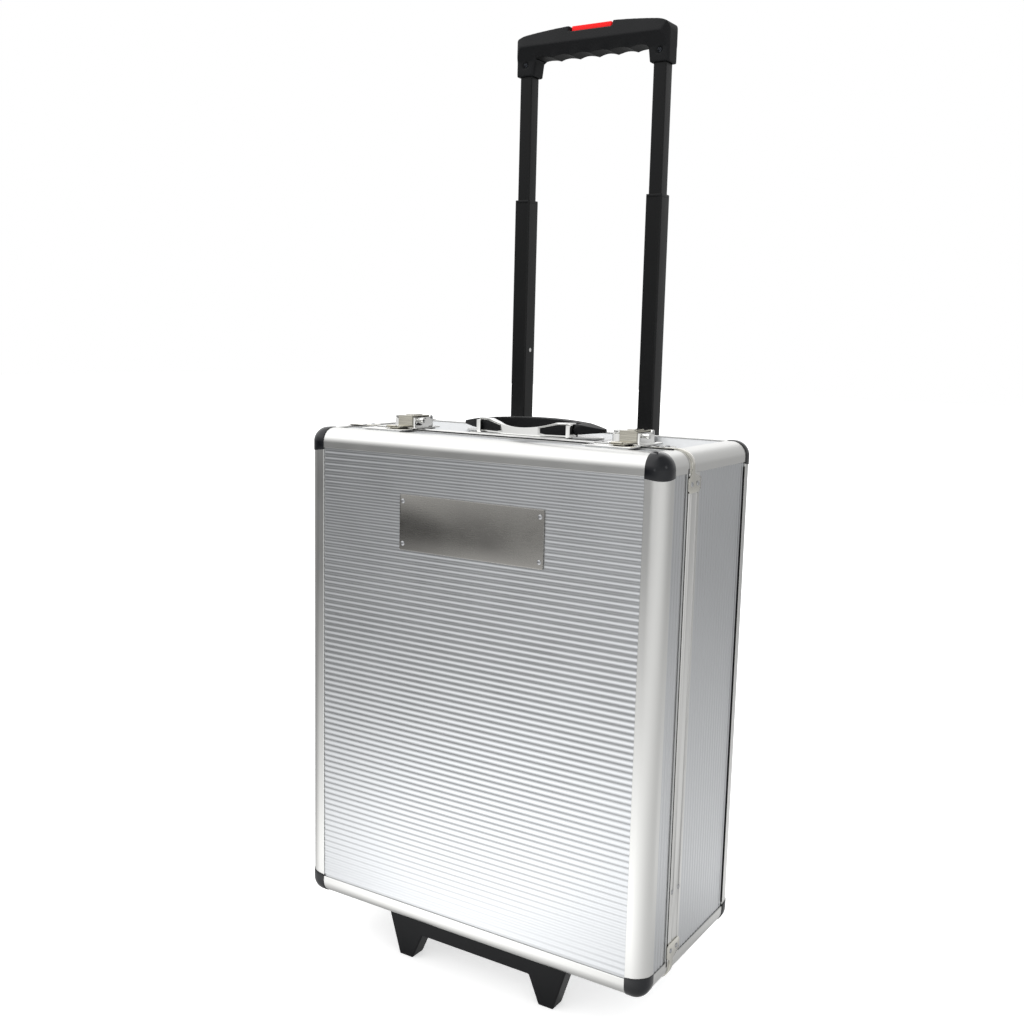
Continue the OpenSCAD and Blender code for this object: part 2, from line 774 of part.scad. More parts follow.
module stay_body_brackets() color("#a0a0a0") pair_x()
    stay_bracket(y_seam + stay_body_y, stay_z, stay_a_x - inside + stay_t + GAP / 2,
        y_body + web_t + 0.4, y_seam + stay_body_y + stay_w, zc0 + stay_rivet_z + 8);

module stay_lid_brackets() color("#a0a0a0") pair_x()
    stay_bracket(y_seam - stay_lid_y, hinge_z + stay_lid_z, stay_b_x - inside - GAP,
        y_seam - stay_lid_y - stay_w + 1, y_seam - stay_lid_y + stay_w - 1,
        hinge_z + stay_lid_z + 0.8 * stay_w);

// ---- latches -----------------------------------------------------------------------

hw_lift = bead_h + RUN;                       // latch hardware rests on the beads
latch_x = hw - latch_side;
plate_top = hw_lift + latch_t;
house_top = plate_top + latch_h;
house_x1 = latch_w / 2 - 8;                   // right side of the housing
hasp_x1 = house_x1 - 2;                       // right edge of the hasp on its latch
hasp_x0 = hasp_x1 - hasp_w;
hasp_z = house_top - 0.8;                     // hasp pin above the case top
hasp_y = latch_y + latch_d - hasp_r - 1.5;    // hasp pin behind the seam
hasp_under = house_top + 0.5;                 // underside of the hasp's plate
tongue_z = plate_top + GAP;                   // underside of the hasp's low tongue
riser_y = house_y - GAP - latch_t;            // step between the tongue and the plate
hasp_front = -9;                              // front of the hasp, over the keeper
catch_y = -6.4;                               // front of the keeper's catch
ear_w = 3;
boss_t = 1.6;                                 // wall of the boss round the key barrel
barrel_x = hasp_x0 - GAP - boss_t - barrel_r; // the key barrel on its latch
push_y = house_y + 4;
push_z = house_top - push_r - 0.5;
push_in = 6;                                  // length of the push button in its bore

// Puts a latch's own frame on the case top: X across, Y back from the seam, Z up
module at_latch(side) translate([side * latch_x, y_seam, zc1]) children();

// Chrome base plate with its raised housing, barrel boss and hasp ears
module latch_base() {
    rear = hasp_y - hasp_r - GAP;
    difference() {
        union() {
            translate([0, latch_y + latch_d / 2, hw_lift]) linear_extrude(latch_t)
                round_rect(latch_w, latch_d, 2);
            span([hasp_x0 + 1, house_y, plate_top - EPS], [house_x1, rear, house_top]);
            translate([barrel_x, barrel_y, plate_top - EPS])
                cylinder(h = latch_h - 2, r = barrel_r + boss_t);
            for (x = [hasp_x0 - ear_w - GAP, hasp_x1 + GAP]) {
                w = x < 0 ? ear_w : house_x1 - x;
                translate([x, hasp_y, hasp_z]) rotate([0, 90, 0]) cylinder(h = w, r = hasp_r);
                span([x, rear - EPS, plate_top - EPS], [x + w, hasp_y + hasp_r, hasp_z]);
            }
            span([-latch_w / 2 + 4, latch_y + latch_d - 8, -lip_t],
                [latch_w / 2 - 4, latch_y + latch_d - 3, hw_lift + EPS]);
        }
        translate([hasp_x0 - 2 * ear_w, hasp_y, hasp_z]) rotate([0, 90, 0])
            cylinder(h = hasp_w + 4 * ear_w, r = hasp_pin_r + RUN);
        translate([barrel_x, barrel_y, plate_top]) cylinder(h = latch_h, r = barrel_r + RUN);
        translate([house_x1 - push_in - push_travel - GAP, push_y, push_z]) rotate([0, 90, 0])
            cylinder(h = 2 * push_in + push_travel, r = push_r + RUN);
    }
}

// Hinged hasp: plate, knuckle, stepped tongue, hook over the keeper and a finger tab
module hasp() {
    tab = 3;
    difference() {
        union() {
            translate([hasp_x0, hasp_y, hasp_z]) rotate([0, 90, 0]) cylinder(h = hasp_w, r = hasp_r);
            span([hasp_x0, riser_y, hasp_under], [hasp_x1, hasp_y, hasp_under + latch_t]);
            span([hasp_x0, riser_y, tongue_z], [hasp_x1, riser_y + latch_t, hasp_under + EPS]);
            span([hasp_x0, hasp_front, tongue_z], [hasp_x1, riser_y + EPS, tongue_z + latch_t]);
            span([hasp_x0 + 2, hasp_front, keeper_h + GAP],
                [hasp_x1 - 2, hasp_front + latch_t, tongue_z + EPS]);
            translate([hasp_x0 + 3, hasp_front + EPS, tongue_z]) rotate([-20, 0, 0])
                translate([0, -tab, 0]) cube([hasp_w - 6, tab + 0.4, latch_t]);
            translate([(hasp_x0 + hasp_x1) / 2, (riser_y + hasp_y) / 2, hasp_under + latch_t - EPS])
                linear_extrude(0.8) round_rect(hasp_w * 0.6, (hasp_y - riser_y) * 0.6, 3);
        }
        translate([hasp_x0 - 1, hasp_y, hasp_z]) rotate([0, 90, 0])
            cylinder(h = hasp_w + 2, r = hasp_pin_r + RUN);
    }
}

// Key barrel with its keyway
module key_barrel() {
    head_z = plate_top + latch_h - 2 + GAP;
    translate([barrel_x, barrel_y, 0]) difference() {
        union() {
            translate([0, 0, plate_top + GAP]) cylinder(h = latch_h - 1, r = barrel_r);
            translate([0, 0, head_z]) cylinder(h = 3, r = barrel_r + 1);
        }
        translate([-0.6, -2.8, head_z + 1]) cube([1.2, 5.6, 3]);
    }
}

// Push button in the housing's right side, with a head
module push_button() {
    translate([house_x1 - push_in, push_y, push_z]) rotate([0, 90, 0]) {
        cylinder(h = push_in + push_travel + GAP + EPS, r = push_r);
        translate([0, 0, push_in + push_travel + GAP])
            cylinder(h = latch_w / 2 - house_x1 - push_travel - GAP - 0.5, r = push_r + 0.6);
    }
}

// Keeper on the lid: slotted plate and the catch that the hasp hooks
module latch_keeper() {
    difference() {
        union() {
            translate([0, -keeper_d / 2 - latch_y, 0]) linear_extrude(keeper_h)
                round_rect(latch_w, keeper_d, 2);
            span([-latch_w / 2 + 3, 2 - keeper_d - latch_y, -lip_t],
                [latch_w / 2 - 3, -lid_lip - 2, EPS]);
        }
        span([-latch_w * 0.37, hasp_front - 3.5, -0.4], [hasp_x0 + 1, hasp_front, keeper_h + 1]);
    }
    span([hasp_x0 + 2.5, catch_y, -lip_t + EPS],
        [hasp_x1 - 2.5, catch_y + latch_t, tongue_z - GAP]);
}

module latch_bases() color("#cfcfcf") for (s = [-1, 1]) at_latch(s) latch_base();
module latch_keepers() color("#d5d5d5") for (s = [-1, 1]) at_latch(s) latch_keeper();

module hasp_pins() color("#9a9a9a") for (s = [-1, 1]) at_latch(s)
    translate([hasp_x0 - ear_w, hasp_y, hasp_z]) rotate([0, 90, 0])
        cylinder(h = house_x1 - hasp_x0 + ear_w, r = hasp_pin_r);

module hasp_left() color("#dadada") at_latch(-1) hasp();
module hasp_right() color("#dadada") at_latch(1) hasp();
module key_barrel_left() color("#e0e0e0") at_latch(-1) key_barrel();
module key_barrel_right() color("#e0e0e0") at_latch(1) key_barrel();
module push_button_left() color("#c4c4c4") at_latch(-1) push_button();
module push_button_right() color("#c4c4c4") at_latch(1) push_button();

// ---- carry handle --------------------------------------------------------------------

rear_sag = handle_d - handle_tip;
tip_deg = atan(2 * handle_tip / handle_l) + atan(2 * rear_sag / handle_l);
half_l = handle_l / 2 + tip_r * (1 / sin(tip_deg) - 1);   // where the two arcs would meet
rear_r = (half_l * half_l + rear_sag * rear_sag) / (2 * rear_sag);
front_r = (half_l * half_l + handle_tip * handle_tip) / (2 * handle_tip);
rear_c = handle_d - rear_r;                   // middle of the rear arc, behind the apex
tip_y = (front_r * front_r - rear_c * rear_c - pow(front_r - tip_r, 2) + pow(rear_r - tip_r, 2))
    / (2 * (front_r - rear_c));               // middle of the tip's rounding
tip_x = sqrt(pow(front_r - tip_r, 2) - pow(tip_y - front_r, 2));
tip_step = 0.1;                               // step where the tip's rounding starts
pivot_y = handle_tip / 2 + 3;                 // pivot behind the front apex
pivot_z = 6.6;                                // pivot above the case top
pivot_boss = 5.6;
lobe_x = bow_x + GAP + 0.1;                   // inner faces of the end lobes
pin_in = 4.5;                                 // reach of the pivot pins into the lobes

// Puts the handle's own frame on the case top, its origin at the front apex
module at_handle() translate([0, y_front + handle_front, zc1]) children();

// Plan of the whole handle: two arcs joined by round tips, moved in by a margin
module handle_plan(margin) {
    cut = tip_x * (1 + (tip_r - margin) / (max(front_r, rear_r) - tip_r)) - 0.5;
    intersection() {
        translate([0, front_r]) circle(front_r - margin, $fn = 180);
        translate([0, rear_c]) circle(rear_r - margin, $fn = 180);
        square([2 * cut, 4 * handle_d], center = true);
    }
    for (x = [-1, 1]) translate([x * tip_x, tip_y]) circle(tip_r - margin - tip_step);
}

ARCH = 12;                                    // steps of the grip's arch on each side

// Front view of the grip: thickest in the middle, with round ends
module grip_arch() {
    half = handle_l / 2;
    intersection() {
        polygon(concat(
            [for (i = [-ARCH:ARCH]) [i / ARCH * half, 1 + tip_rise * pow(i / ARCH, 2)]],
            [for (i = [-ARCH:ARCH]) [-i / ARCH * half, band_h - tip_fall * pow(i / ARCH, 2)]]
        ));
        translate([0, (band_h + 1) / 2]) round_rect(handle_l, band_h - 1, tip_r);
    }
}

// Black grip: two end lobes joined by the band behind the finger gap
module handle_grip() {
    color("#26282b") at_handle() difference() {
        intersection() {
            linear_extrude(band_h) difference() {
                handle_plan(0);
                intersection() {
                    translate([0, rear_c]) circle(rear_r - band_d, $fn = 180);
                    square([2 * lobe_x, 4 * handle_d], center = true);
                }
            }
            translate([0, 2 * handle_d, 0]) face_front() linear_extrude(4 * handle_d) grip_arch();
            union() {
                span([-handle_l, pivot_y, -1], [handle_l, 2 * handle_d, 2 * band_h]);
                translate([-handle_l, pivot_y, pivot_z]) rotate([0, 90, 0])
                    cylinder(h = 2 * handle_l, r = pivot_boss);
            }
        }
        pair_x() translate([lobe_x - 1, pivot_y, pivot_z]) rotate([0, 90, 0])
            cylinder(h = pin_in + 1.5, r = handle_pin_r + RUN);
    }
}

// Front view of the chrome bow tie: high ends and a dip in the middle
module bow_view(margin) {
    dip = bow_h - bow_dip;
    half = bow_x * 0.72;
    r = (half * half + dip * dip) / (2 * dip);
    difference() {
        translate([-bow_x + margin, -0.6]) square([2 * (bow_x - margin), bow_h - margin + 0.6]);
        translate([0, bow_dip + r - margin]) circle(r, $fn = 180);
    }
}

// The bow tie's dark fields, narrowing towards the middle
module inset_view() {
    polygon([
        [bow_x - 2, 1.4], [bow_x - 2, bow_h - 1.6], [bow_x * 0.74, bow_h - 1.9],
        [bow_x * 0.42, bow_dip + 0.4], [bow_x * 0.42, 2.4], [bow_x * 0.52, 1.4],
    ]);
}

// Band that follows the handle's front arc, from one depth to another behind it
module front_band(d0, d1) {
    difference() {
        handle_plan(d0);
        translate([0, front_r]) circle(front_r - d1, $fn = 180);
    }
}

inset_depth = 1.2;                            // depth of the dark fields in the bow tie

// Chrome base: flange with its mounting plate, bow tie upstand and pivot holes
module handle_base() {
    color("#d2d2d2") at_handle() difference() {
        union() {
            translate([0, 0, -lip_t]) linear_extrude(lip_t + 0.4) intersection() {
                union() {
                    handle_plan(2);
                    translate([0, bow_t / 2 - 1]) square([2 * bow_x, bow_t + 8], center = true);
                }
                square([handle_l, 4 * handle_d], center = true);
            }
            intersection() {
                linear_extrude(bow_h) front_band(0.4, bow_t);
                translate([0, handle_d, 0]) face_front() linear_extrude(2 * handle_d) bow_view(0);
            }
            pair_x() span([bow_x - 4, bow_t - 3, 0], [bow_x, pivot_y + 4, pivot_z + 4]);
        }
        pair_x() intersection() {
            linear_extrude(bow_h + 1) front_band(-1, inset_depth);
            translate([0, handle_d, 0]) face_front() linear_extrude(2 * handle_d) inset_view();
        }
        translate([-lobe_x, pivot_y, pivot_z]) rotate([0, 90, 0])
            cylinder(h = 2 * lobe_x, r = handle_pin_r + RUN);
    }
}

module handle_insets() color("#2c2e31") at_handle() pair_x() intersection() {
    linear_extrude(bow_h) front_band(0.7, inset_depth);
    translate([0, handle_d, 0]) face_front() linear_extrude(2 * handle_d) inset_view();
}

module handle_pins() color("#9a9a9a") at_handle() pair_x()
    translate([bow_x - 4, pivot_y, pivot_z]) rotate([0, 90, 0])
        cylinder(h = 4 + lobe_x - bow_x + pin_in, r = handle_pin_r);

// ---- trolley ----------------------------------------------------------------------------

tube_x = tube_span / 2;
tube_y = y_back + tube_gap + fixed_d / 2;
fixed_z0 = zc0 + 12;
fixed_z1 = zc1 - fixed_drop;
mid_z1 = zc1 + mid_out;
mid_z0 = fixed_z1 - mid_lap;
inner_z0 = mid_z1 - inner_lap;
socket_z = mid_z1 + inner_out;                // lower ends of the grip's sockets
inner_z1 = socket_z + socket_h;
COLLAR = 3;                                   // height of the guide collars
lock_z = inner_z0 + 10;                       // lock studs on the middle tubes

// A rectangular tube standing between two heights
module tube(w, d, z0, z1) {
    translate([tube_x, tube_y, z0]) linear_extrude(z1 - z0) difference() {
        round_rect(w, d, tube_corner);
        round_rect(w - 2 * tube_wall, d - 2 * tube_wall, tube_corner * 0.5);
    }
}

// Ring with a tube's outside and a free passage for the next tube
module collar(w, d, w_in, d_in, z) {
    translate([tube_x, tube_y, z]) linear_extrude(COLLAR) difference() {
        round_rect(w, d, tube_corner);
        round_rect(w_in + 2 * GAP, d_in + 2 * GAP, tube_corner);
    }
}

module fixed_tubes() color("#1c1d1f") pair_x() tube(fixed_w, fixed_d, fixed_z0, fixed_z1);
module fixed_collars() color("#232427") pair_x() collar(fixed_w, fixed_d, mid_w, mid_d, fixed_z1);
module mid_tubes() color("#1c1d1f") pair_x() difference() {
    tube(mid_w, mid_d, mid_z0, mid_z1 - COLLAR);
    translate([0, tube_y, lock_z]) rotate([0, 90, 0])
        cylinder(h = tube_x, r = rod_r + RUN);
}
module mid_collars() color("#232427") pair_x()
    collar(mid_w, mid_d, inner_w, inner_d, mid_z1 - COLLAR);
module inner_tubes() color("#1c1d1f") pair_x() tube(inner_w, inner_d, inner_z0, inner_z1);

module lock_studs() color("#c0c0c0") pair_x()
    translate([tube_x - mid_w / 2 - 0.25, tube_y, lock_z]) rotate([0, 90, 0])
        cylinder(h = tube_wall + 0.25, r = rod_r);

// Steel strap that clamps both fixed tubes to the back near their tops
module tube_bracket() {
    h = 26;
    z = fixed_z1 - 14 - h;
    t = 2;
    color("#1f2022") translate([0, 0, z]) linear_extrude(h) difference() {
        union() {
            translate([-tube_x - fixed_w / 2 - 16, y_back]) square([tube_span + fixed_w + 32, t]);
            for (s = [-1, 1]) translate([s * tube_x, tube_y + (t - tube_gap) / 2])
                square([fixed_w + 2 * t, fixed_d + t + tube_gap], center = true);
        }
        for (s = [-1, 1]) translate([s * tube_x, tube_y]) {
            round_rect(fixed_w, fixed_d, tube_corner);
            translate([0, -fixed_d / 2]) square([fixed_w, fixed_d], center = true);
        }
    }
}

// ---- pull grip and release -------------------------------------------------------------

grip_top = socket_z + grip_h;
bar_z = socket_z + socket_h;                  // underside of the bar
button_top = grip_top - 0.8;
yoke_z = grip_top - 19;

pocket_r = 3.3;                               // screw pockets on the sockets' fronts
pocket_t = 1.5;
pocket_z = 10.5;
WAVE = 16;                                    // points on each finger scallop

// Front view of the bar: arched top, wavy finger scallops below
module bar_view() {
    half = grip_w / 2;
    r = (half * half + grip_arch * grip_arch) / (2 * grip_arch);
    run = tube_span - socket_w;
    n = scallops * WAVE;
    difference() {
        intersection() {
            translate([0, grip_top - r]) circle(r, $fn = 180);
            translate([0, grip_top - grip_h]) round_rect(grip_w, 2 * grip_h, 12);
        }
        translate([-half, bar_z - 1]) square([grip_w, 1]);
        polygon(concat([[-run / 2, bar_z - 1]],
            [for (i = [0:n])
                [(i / n - 0.5) * run, bar_z + scallop_depth * (1 - cos(360 * i / WAVE)) / 2]],
            [[run / 2, bar_z - 1]]));
    }
}

// Section of the bar from front to back, widest at the crease
module bar_section() {
    z = grip_top - crease_z;
    polygon([
        [-bar_top_d / 2, bar_z - 1], [-bar_d / 2, z], [-bar_top_d / 2, grip_top + 1],
        [bar_top_d / 2, grip_top + 1], [bar_d / 2, z], [bar_top_d / 2, bar_z - 1],
    ]);
}

// Black moulded grip with two sockets, finger scallops and the release button's well
module pull_grip() {
    color("#2d2f30") difference() {
        translate([0, tube_y, 0]) union() {
            intersection() {
                translate([0, bar_d, 0]) face_front() linear_extrude(2 * bar_d) bar_view();
                translate([-grip_w, 0, 0]) rotate([90, 0, 90]) linear_extrude(2 * grip_w)
                    bar_section();
                translate([0, 0, socket_z]) linear_extrude(2 * grip_h)
                    round_rect(grip_w, bar_d, grip_corner);
            }
            pair_x() translate([tube_x, 0, socket_z])
                linear_extrude(socket_h + crease_z - 2) round_rect(socket_w, socket_w, 2.5);
        }
        pair_x() {
            translate([tube_x, tube_y, socket_z - 1]) linear_extrude(socket_h + 1)
                round_rect(inner_w, inner_d, tube_corner);
            translate([tube_x, tube_y, socket_z]) cylinder(h = yoke_z - socket_z + 8, r = rod_r + 1.5);
            translate([tube_x, tube_y - socket_w / 2 + pocket_t, socket_z + pocket_z])
                rotate([90, 0, 0]) cylinder(h = bar_d, r = pocket_r);
        }
        span([-tube_x - 3, tube_y - 3.5, yoke_z - button_travel - GAP],
            [tube_x + 3, tube_y + 3.5, yoke_z + 5.5 + GAP]);
        span([-button_l / 2 - GAP, tube_y - button_w / 2 - GAP, yoke_z + 5.5],
            [button_l / 2 + GAP, tube_y + button_w / 2 + GAP, grip_top + 2]);
        span([-button_l / 2 - 2, tube_y - bar_d, grip_top - notch_d],
            [button_l / 2 + 2, tube_y + bar_d, grip_top + 2]);
    }
}

// Red button with the yoke that joins it to both rods
module release_button() {
    color("#e8262b") {
        translate([0, tube_y + button_w / 2, 0]) face_front() linear_extrude(button_w)
            difference() {
                translate([-button_l / 2, yoke_z + 5.5 + button_travel + GAP])
                    square([button_l, button_top - yoke_z - 5.5 - button_travel - GAP]);
            }
        span([-8, tube_y - 3, yoke_z + 5 - EPS], [8, tube_y + 3, yoke_z + 6 + button_travel + GAP]);
        span([-tube_x - 2.5, tube_y - 3, yoke_z], [tube_x + 2.5, tube_y + 3, yoke_z + 5]);
    }
}

module release_rods() color("#8f8f8f") pair_x()
    translate([tube_x, tube_y, inner_z0 + 8]) cylinder(h = yoke_z - inner_z0 - 8, r = rod_r);

// ---- wheels --------------------------------------------------------------------------------

axle_z = wheel_r;
axle_yy = y_back + axle_y;
cheek_in = wheel_x - wheel_w / 2 - 1 - housing_t;
cheek_out = wheel_x + wheel_w / 2 + 1;

// Side view of a fork cheek: from the back plate down round the axle
module cheek_view() {
    top = zc0 + housing_h;
    difference() {
        union() {
            polygon([
                [y_back, zc0 + edge_r], [y_back, top], [y_back + housing_t + 2, top],
                [axle_yy + 9, zc0 + 12], [axle_yy + 8.5, axle_z], [axle_yy - 8.5, axle_z],
                [y_back - 2, zc0 - 4], [y_back + 0.3, zc0],
            ]);
            translate([axle_yy, axle_z]) circle(9);
        }
        translate([y_back - edge_r, zc0 + edge_r]) circle(edge_r + GAP);
        translate([axle_yy, axle_z]) circle(axle_r + RUN);
    }
}

// Moulded housing of the right wheel: back plate, tube socket and fork
module wheel_housing() {
    plate_x0 = tube_x - fixed_w / 2 - 5;
    plate_x1 = cheek_out + housing_t;
    socket_x1 = cheek_in + EPS;
    for (x = [cheek_in, cheek_out]) translate([x, 0, 0]) rotate([90, 0, 90])
        linear_extrude(housing_t) cheek_view();
    translate([0, 0, zc0 + edge_r]) difference() {
        union() {
            span([plate_x0, y_back, 0], [plate_x1, y_back + housing_t, housing_h - edge_r]);
            span([tube_x - fixed_w / 2 - 3, y_back, -4], [socket_x1, tube_y + fixed_d / 2 + 3, housing_h - 2]);
        }
        translate([tube_x, tube_y, fixed_z0 - zc0 - edge_r]) linear_extrude(2 * housing_h)
            round_rect(fixed_w, fixed_d, tube_corner);
        span([plate_x0 - 1, y_back - 5, -5], [socket_x1 + 1, y_back + 0.01, 0]);
    }
}

module wheel_housings() color("#232529") pair_x() wheel_housing();

module axles() color("#8c8c8c") pair_x() translate([cheek_in - 1, axle_yy, axle_z])
    rotate([0, 90, 0]) cylinder(h = cheek_out + housing_t - cheek_in + 2, r = axle_r);

// Hub with a bore for the axle and five spokes' pockets
module hub() {
    POCKETS = 5;
    translate([wheel_x, axle_yy, axle_z]) rotate([0, 90, 0]) difference() {
        cylinder(h = wheel_w - 2, r = hub_r, center = true);
        cylinder(h = wheel_w, r = axle_r + RUN, center = true);
        for (i = [0:POCKETS - 1], s = [-1, 1]) rotate([0, 0, i * 360 / POCKETS])
            translate([hub_r * 0.6, 0, s * wheel_w / 2]) cylinder(h = wheel_w / 2, r = 3.2, center = true);
    }
}

// Rubber tyre with rounded shoulders
module tyre() {
    shoulder = 3;
    translate([wheel_x, axle_yy, axle_z]) rotate([0, 90, 0]) rotate_extrude() difference() {
        union() {
            translate([0, -wheel_w / 2]) square([wheel_r - shoulder, wheel_w]);
            translate([0, -wheel_w / 2 + shoulder]) square([wheel_r, wheel_w - 2 * shoulder]);
            for (s = [-1, 1]) translate([wheel_r - shoulder, s * (wheel_w / 2 - shoulder)])
                circle(shoulder);
        }
        translate([-1, -wheel_w]) square([hub_r + 1, 2 * wheel_w]);
    }
}

module hub_left() color("#3a3c40") mirror([1, 0, 0]) hub();
module hub_right() color("#3a3c40") hub();
module tyre_left() color("#17181a") mirror([1, 0, 0]) tyre();
module tyre_right() color("#17181a") tyre();

// ---- nodes ------------------------------------------------------------------------------

back_panel();
body_wall_panels();
body_boards();
body_liner();
body_back_extrusions();
body_depth_extrusions();
body_corner_caps();
body_rim_frame();
seam_brackets();
bracket_rivets();
lid_front_panel();
lid_wall_panels();
lid_boards();
lid_liner();
lid_front_extrusions();
lid_depth_extrusions();
lid_corner_caps();
lid_rim_frame();
name_plate();
plate_rivets();
foot_bar();
hinge_body_leaves();
hinge_lid_leaves();
hinge_pins();
stay_body_brackets();
stay_lid_brackets();
stay_link_a_left();
stay_link_a_right();
stay_link_b_left();
stay_link_b_right();
latch_bases();
latch_keepers();
hasp_pins();
hasp_left();
hasp_right();
key_barrel_left();
key_barrel_right();
push_button_left();
push_button_right();
handle_base();
handle_insets();
handle_pins();
handle_grip();
fixed_tubes();
fixed_collars();
tube_bracket();
mid_tubes();
mid_collars();
lock_studs();
inner_tubes();
pull_grip();
release_button();
release_rods();
wheel_housings();
axles();
hub_left();
hub_right();
tyre_left();
tyre_right();
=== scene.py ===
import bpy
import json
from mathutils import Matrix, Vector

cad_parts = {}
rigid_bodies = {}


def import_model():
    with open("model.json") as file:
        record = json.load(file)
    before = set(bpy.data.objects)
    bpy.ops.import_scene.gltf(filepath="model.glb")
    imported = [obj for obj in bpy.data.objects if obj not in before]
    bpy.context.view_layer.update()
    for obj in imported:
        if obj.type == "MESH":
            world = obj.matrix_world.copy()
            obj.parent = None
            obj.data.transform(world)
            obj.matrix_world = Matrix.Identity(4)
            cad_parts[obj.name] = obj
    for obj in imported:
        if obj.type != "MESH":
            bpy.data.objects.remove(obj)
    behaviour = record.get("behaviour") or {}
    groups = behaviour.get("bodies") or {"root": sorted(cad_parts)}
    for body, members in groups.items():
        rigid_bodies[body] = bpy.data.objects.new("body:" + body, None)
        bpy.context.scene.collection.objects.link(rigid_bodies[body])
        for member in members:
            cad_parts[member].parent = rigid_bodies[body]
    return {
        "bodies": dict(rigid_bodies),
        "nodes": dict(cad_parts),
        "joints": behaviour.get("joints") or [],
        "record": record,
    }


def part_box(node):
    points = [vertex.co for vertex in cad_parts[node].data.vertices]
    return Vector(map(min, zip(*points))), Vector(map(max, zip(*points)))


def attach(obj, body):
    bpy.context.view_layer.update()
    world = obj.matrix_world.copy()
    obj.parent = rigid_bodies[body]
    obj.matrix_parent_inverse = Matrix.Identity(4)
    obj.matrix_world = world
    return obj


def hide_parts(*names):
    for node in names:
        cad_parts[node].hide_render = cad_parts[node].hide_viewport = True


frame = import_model()
"""Looks of a rolling art supply case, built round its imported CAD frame.

Sizes are in millimetres in the CAD part's frame: X across, -Y to the front, Z up.
Each class below makes one sub-assembly and says which CAD nodes it stands for.
"""
import json
import logging
import math
from dataclasses import dataclass, field
from enum import Enum
from functools import partial
from typing import Callable, Optional, Sequence

import bmesh
import bpy
from mathutils import Matrix, Vector

log = logging.getLogger("art_case")

MM = 0.001

Point = tuple[float, float, float]
Point2 = tuple[float, float]
Box = tuple[Vector, Vector]


# ------------------------------------------------------------------ colours and finishes


def linear(hex_code: str) -> tuple[float, float, float, float]:
    """Turns an sRGB colour into the linear values that shaders take.

    Args:
        hex_code: six hexadecimal digits, such as "23a0ff".

    Returns:
        Red, green, blue and alpha, each 0 to 1.
    """
    def channel(value: float) -> float:
        """Turns one channel."""
        return value / 12.92 if value <= 0.04045 else ((value + 0.055) / 1.055) ** 2.4

    red, green, blue = (int(hex_code[i:i + 2], 16) / 255 for i in (0, 2, 4))
    return channel(red), channel(green), channel(blue), 1.0


class Grain(Enum):
    """How the fine pattern of a finish runs, as its scale along X, Y and Z."""

    EVEN = (1.0, 1.0, 1.0)
    ALONG_X = (1 / 30.0, 1.0, 1.0)
    ALONG_Z = (1.0, 1.0, 1 / 30.0)


@dataclass(frozen=True)
class Finish:
    """One real material and how its surface is worked.

    Attributes:
        name: the material's name.
        colour: base colour as sRGB hex.
        metallic: 1 for bare metal, 0 for anything else.
        roughness: mean roughness.
        spread: how far roughness wanders to each side of the mean.
        grain: direction of the fine pattern.
        grain_mm: size of the fine pattern.
        bump_mm: height of the fine pattern.
        tint: how much the colour wanders, as a share of it.
        specular: specular level of a non-metal.
    """

    name: str
    colour: str
    metallic: float
    roughness: float
    spread: float
    grain: Grain
    grain_mm: float
    bump_mm: float
    tint: float
    specular: float = 0.5


# Rolled sheet and drawn sections, etched and anodised: satin, with soft, wide reflections.
SHEET = Finish("anodised_ribbed_aluminium", "c4c6c8", 1.0, 0.32, 0.03, Grain.EVEN, 0.35, 0.003, 0.03)
EXTRUSION = Finish("anodised_extruded_aluminium", "d2d2d0", 1.0, 0.33, 0.03, Grain.EVEN, 0.25, 0.002, 0.02)
# Plated steel: nearly a mirror. Nickel is a little warmer and darker than chrome.
CHROME = Finish("nickel_chrome_plate", "e2e2e0", 1.0, 0.08, 0.03, Grain.EVEN, 6.0, 0.0, 0.02)
BRACKET = Finish("nickel_plated_steel", "d0cec6", 1.0, 0.12, 0.04, Grain.EVEN, 5.0, 0.0, 0.04)
# Pressed and plated over rolling lines, drawn coarser than they are so that they show.
BRIGHT_NICKEL = Finish("bright_nickel_plate", "aeaba0", 1.0, 0.12, 0.04, Grain.ALONG_X, 1.1, 0.09, 0.10)
# Brushed along its length: long streaks that stretch a reflection upwards.
PLATE = Finish("brushed_nameplate_aluminium", "9c9a96", 1.0, 0.26, 0.06, Grain.ALONG_X, 0.25, 0.004, 0.05)
# Thin dull plating and dark oxide on small steel parts.
ZINC = Finish("zinc_plated_steel", "a9aaac", 1.0, 0.32, 0.06, Grain.EVEN, 1.2, 0.002, 0.04)
BLACK_STEEL = Finish("black_oxide_steel", "3a3c40", 1.0, 0.35, 0.05, Grain.EVEN, 1.0, 0.004, 0.05)
# Moulded plastics: black with a weak sheen, from polished ball corners to eroded matt feet.
GLOSS_BLACK = Finish("polished_abs_black", "101216", 0.0, 0.16, 0.03, Grain.EVEN, 3.0, 0.004, 0.04, 0.34)
MATT_BLACK = Finish("moulded_polypropylene_black", "0f1012", 0.0, 0.55, 0.06, Grain.EVEN, 0.6, 0.02, 0.05,
                    0.2)
HUB = Finish("moulded_nylon_grey", "202225", 0.0, 0.5, 0.05, Grain.EVEN, 0.6, 0.01, 0.05, 0.3)
RED = Finish("moulded_abs_red", "ff1a1c", 0.0, 0.35, 0.04, Grain.EVEN, 0.6, 0.008, 0.03, 0.2)
# Drawn tube, dyed black when anodised: faint drawing lines along it.
TUBE_BLACK = Finish("black_anodised_tube", "08090a", 0.0, 0.36, 0.05, Grain.ALONG_Z, 0.5, 0.003, 0.05, 0.25)
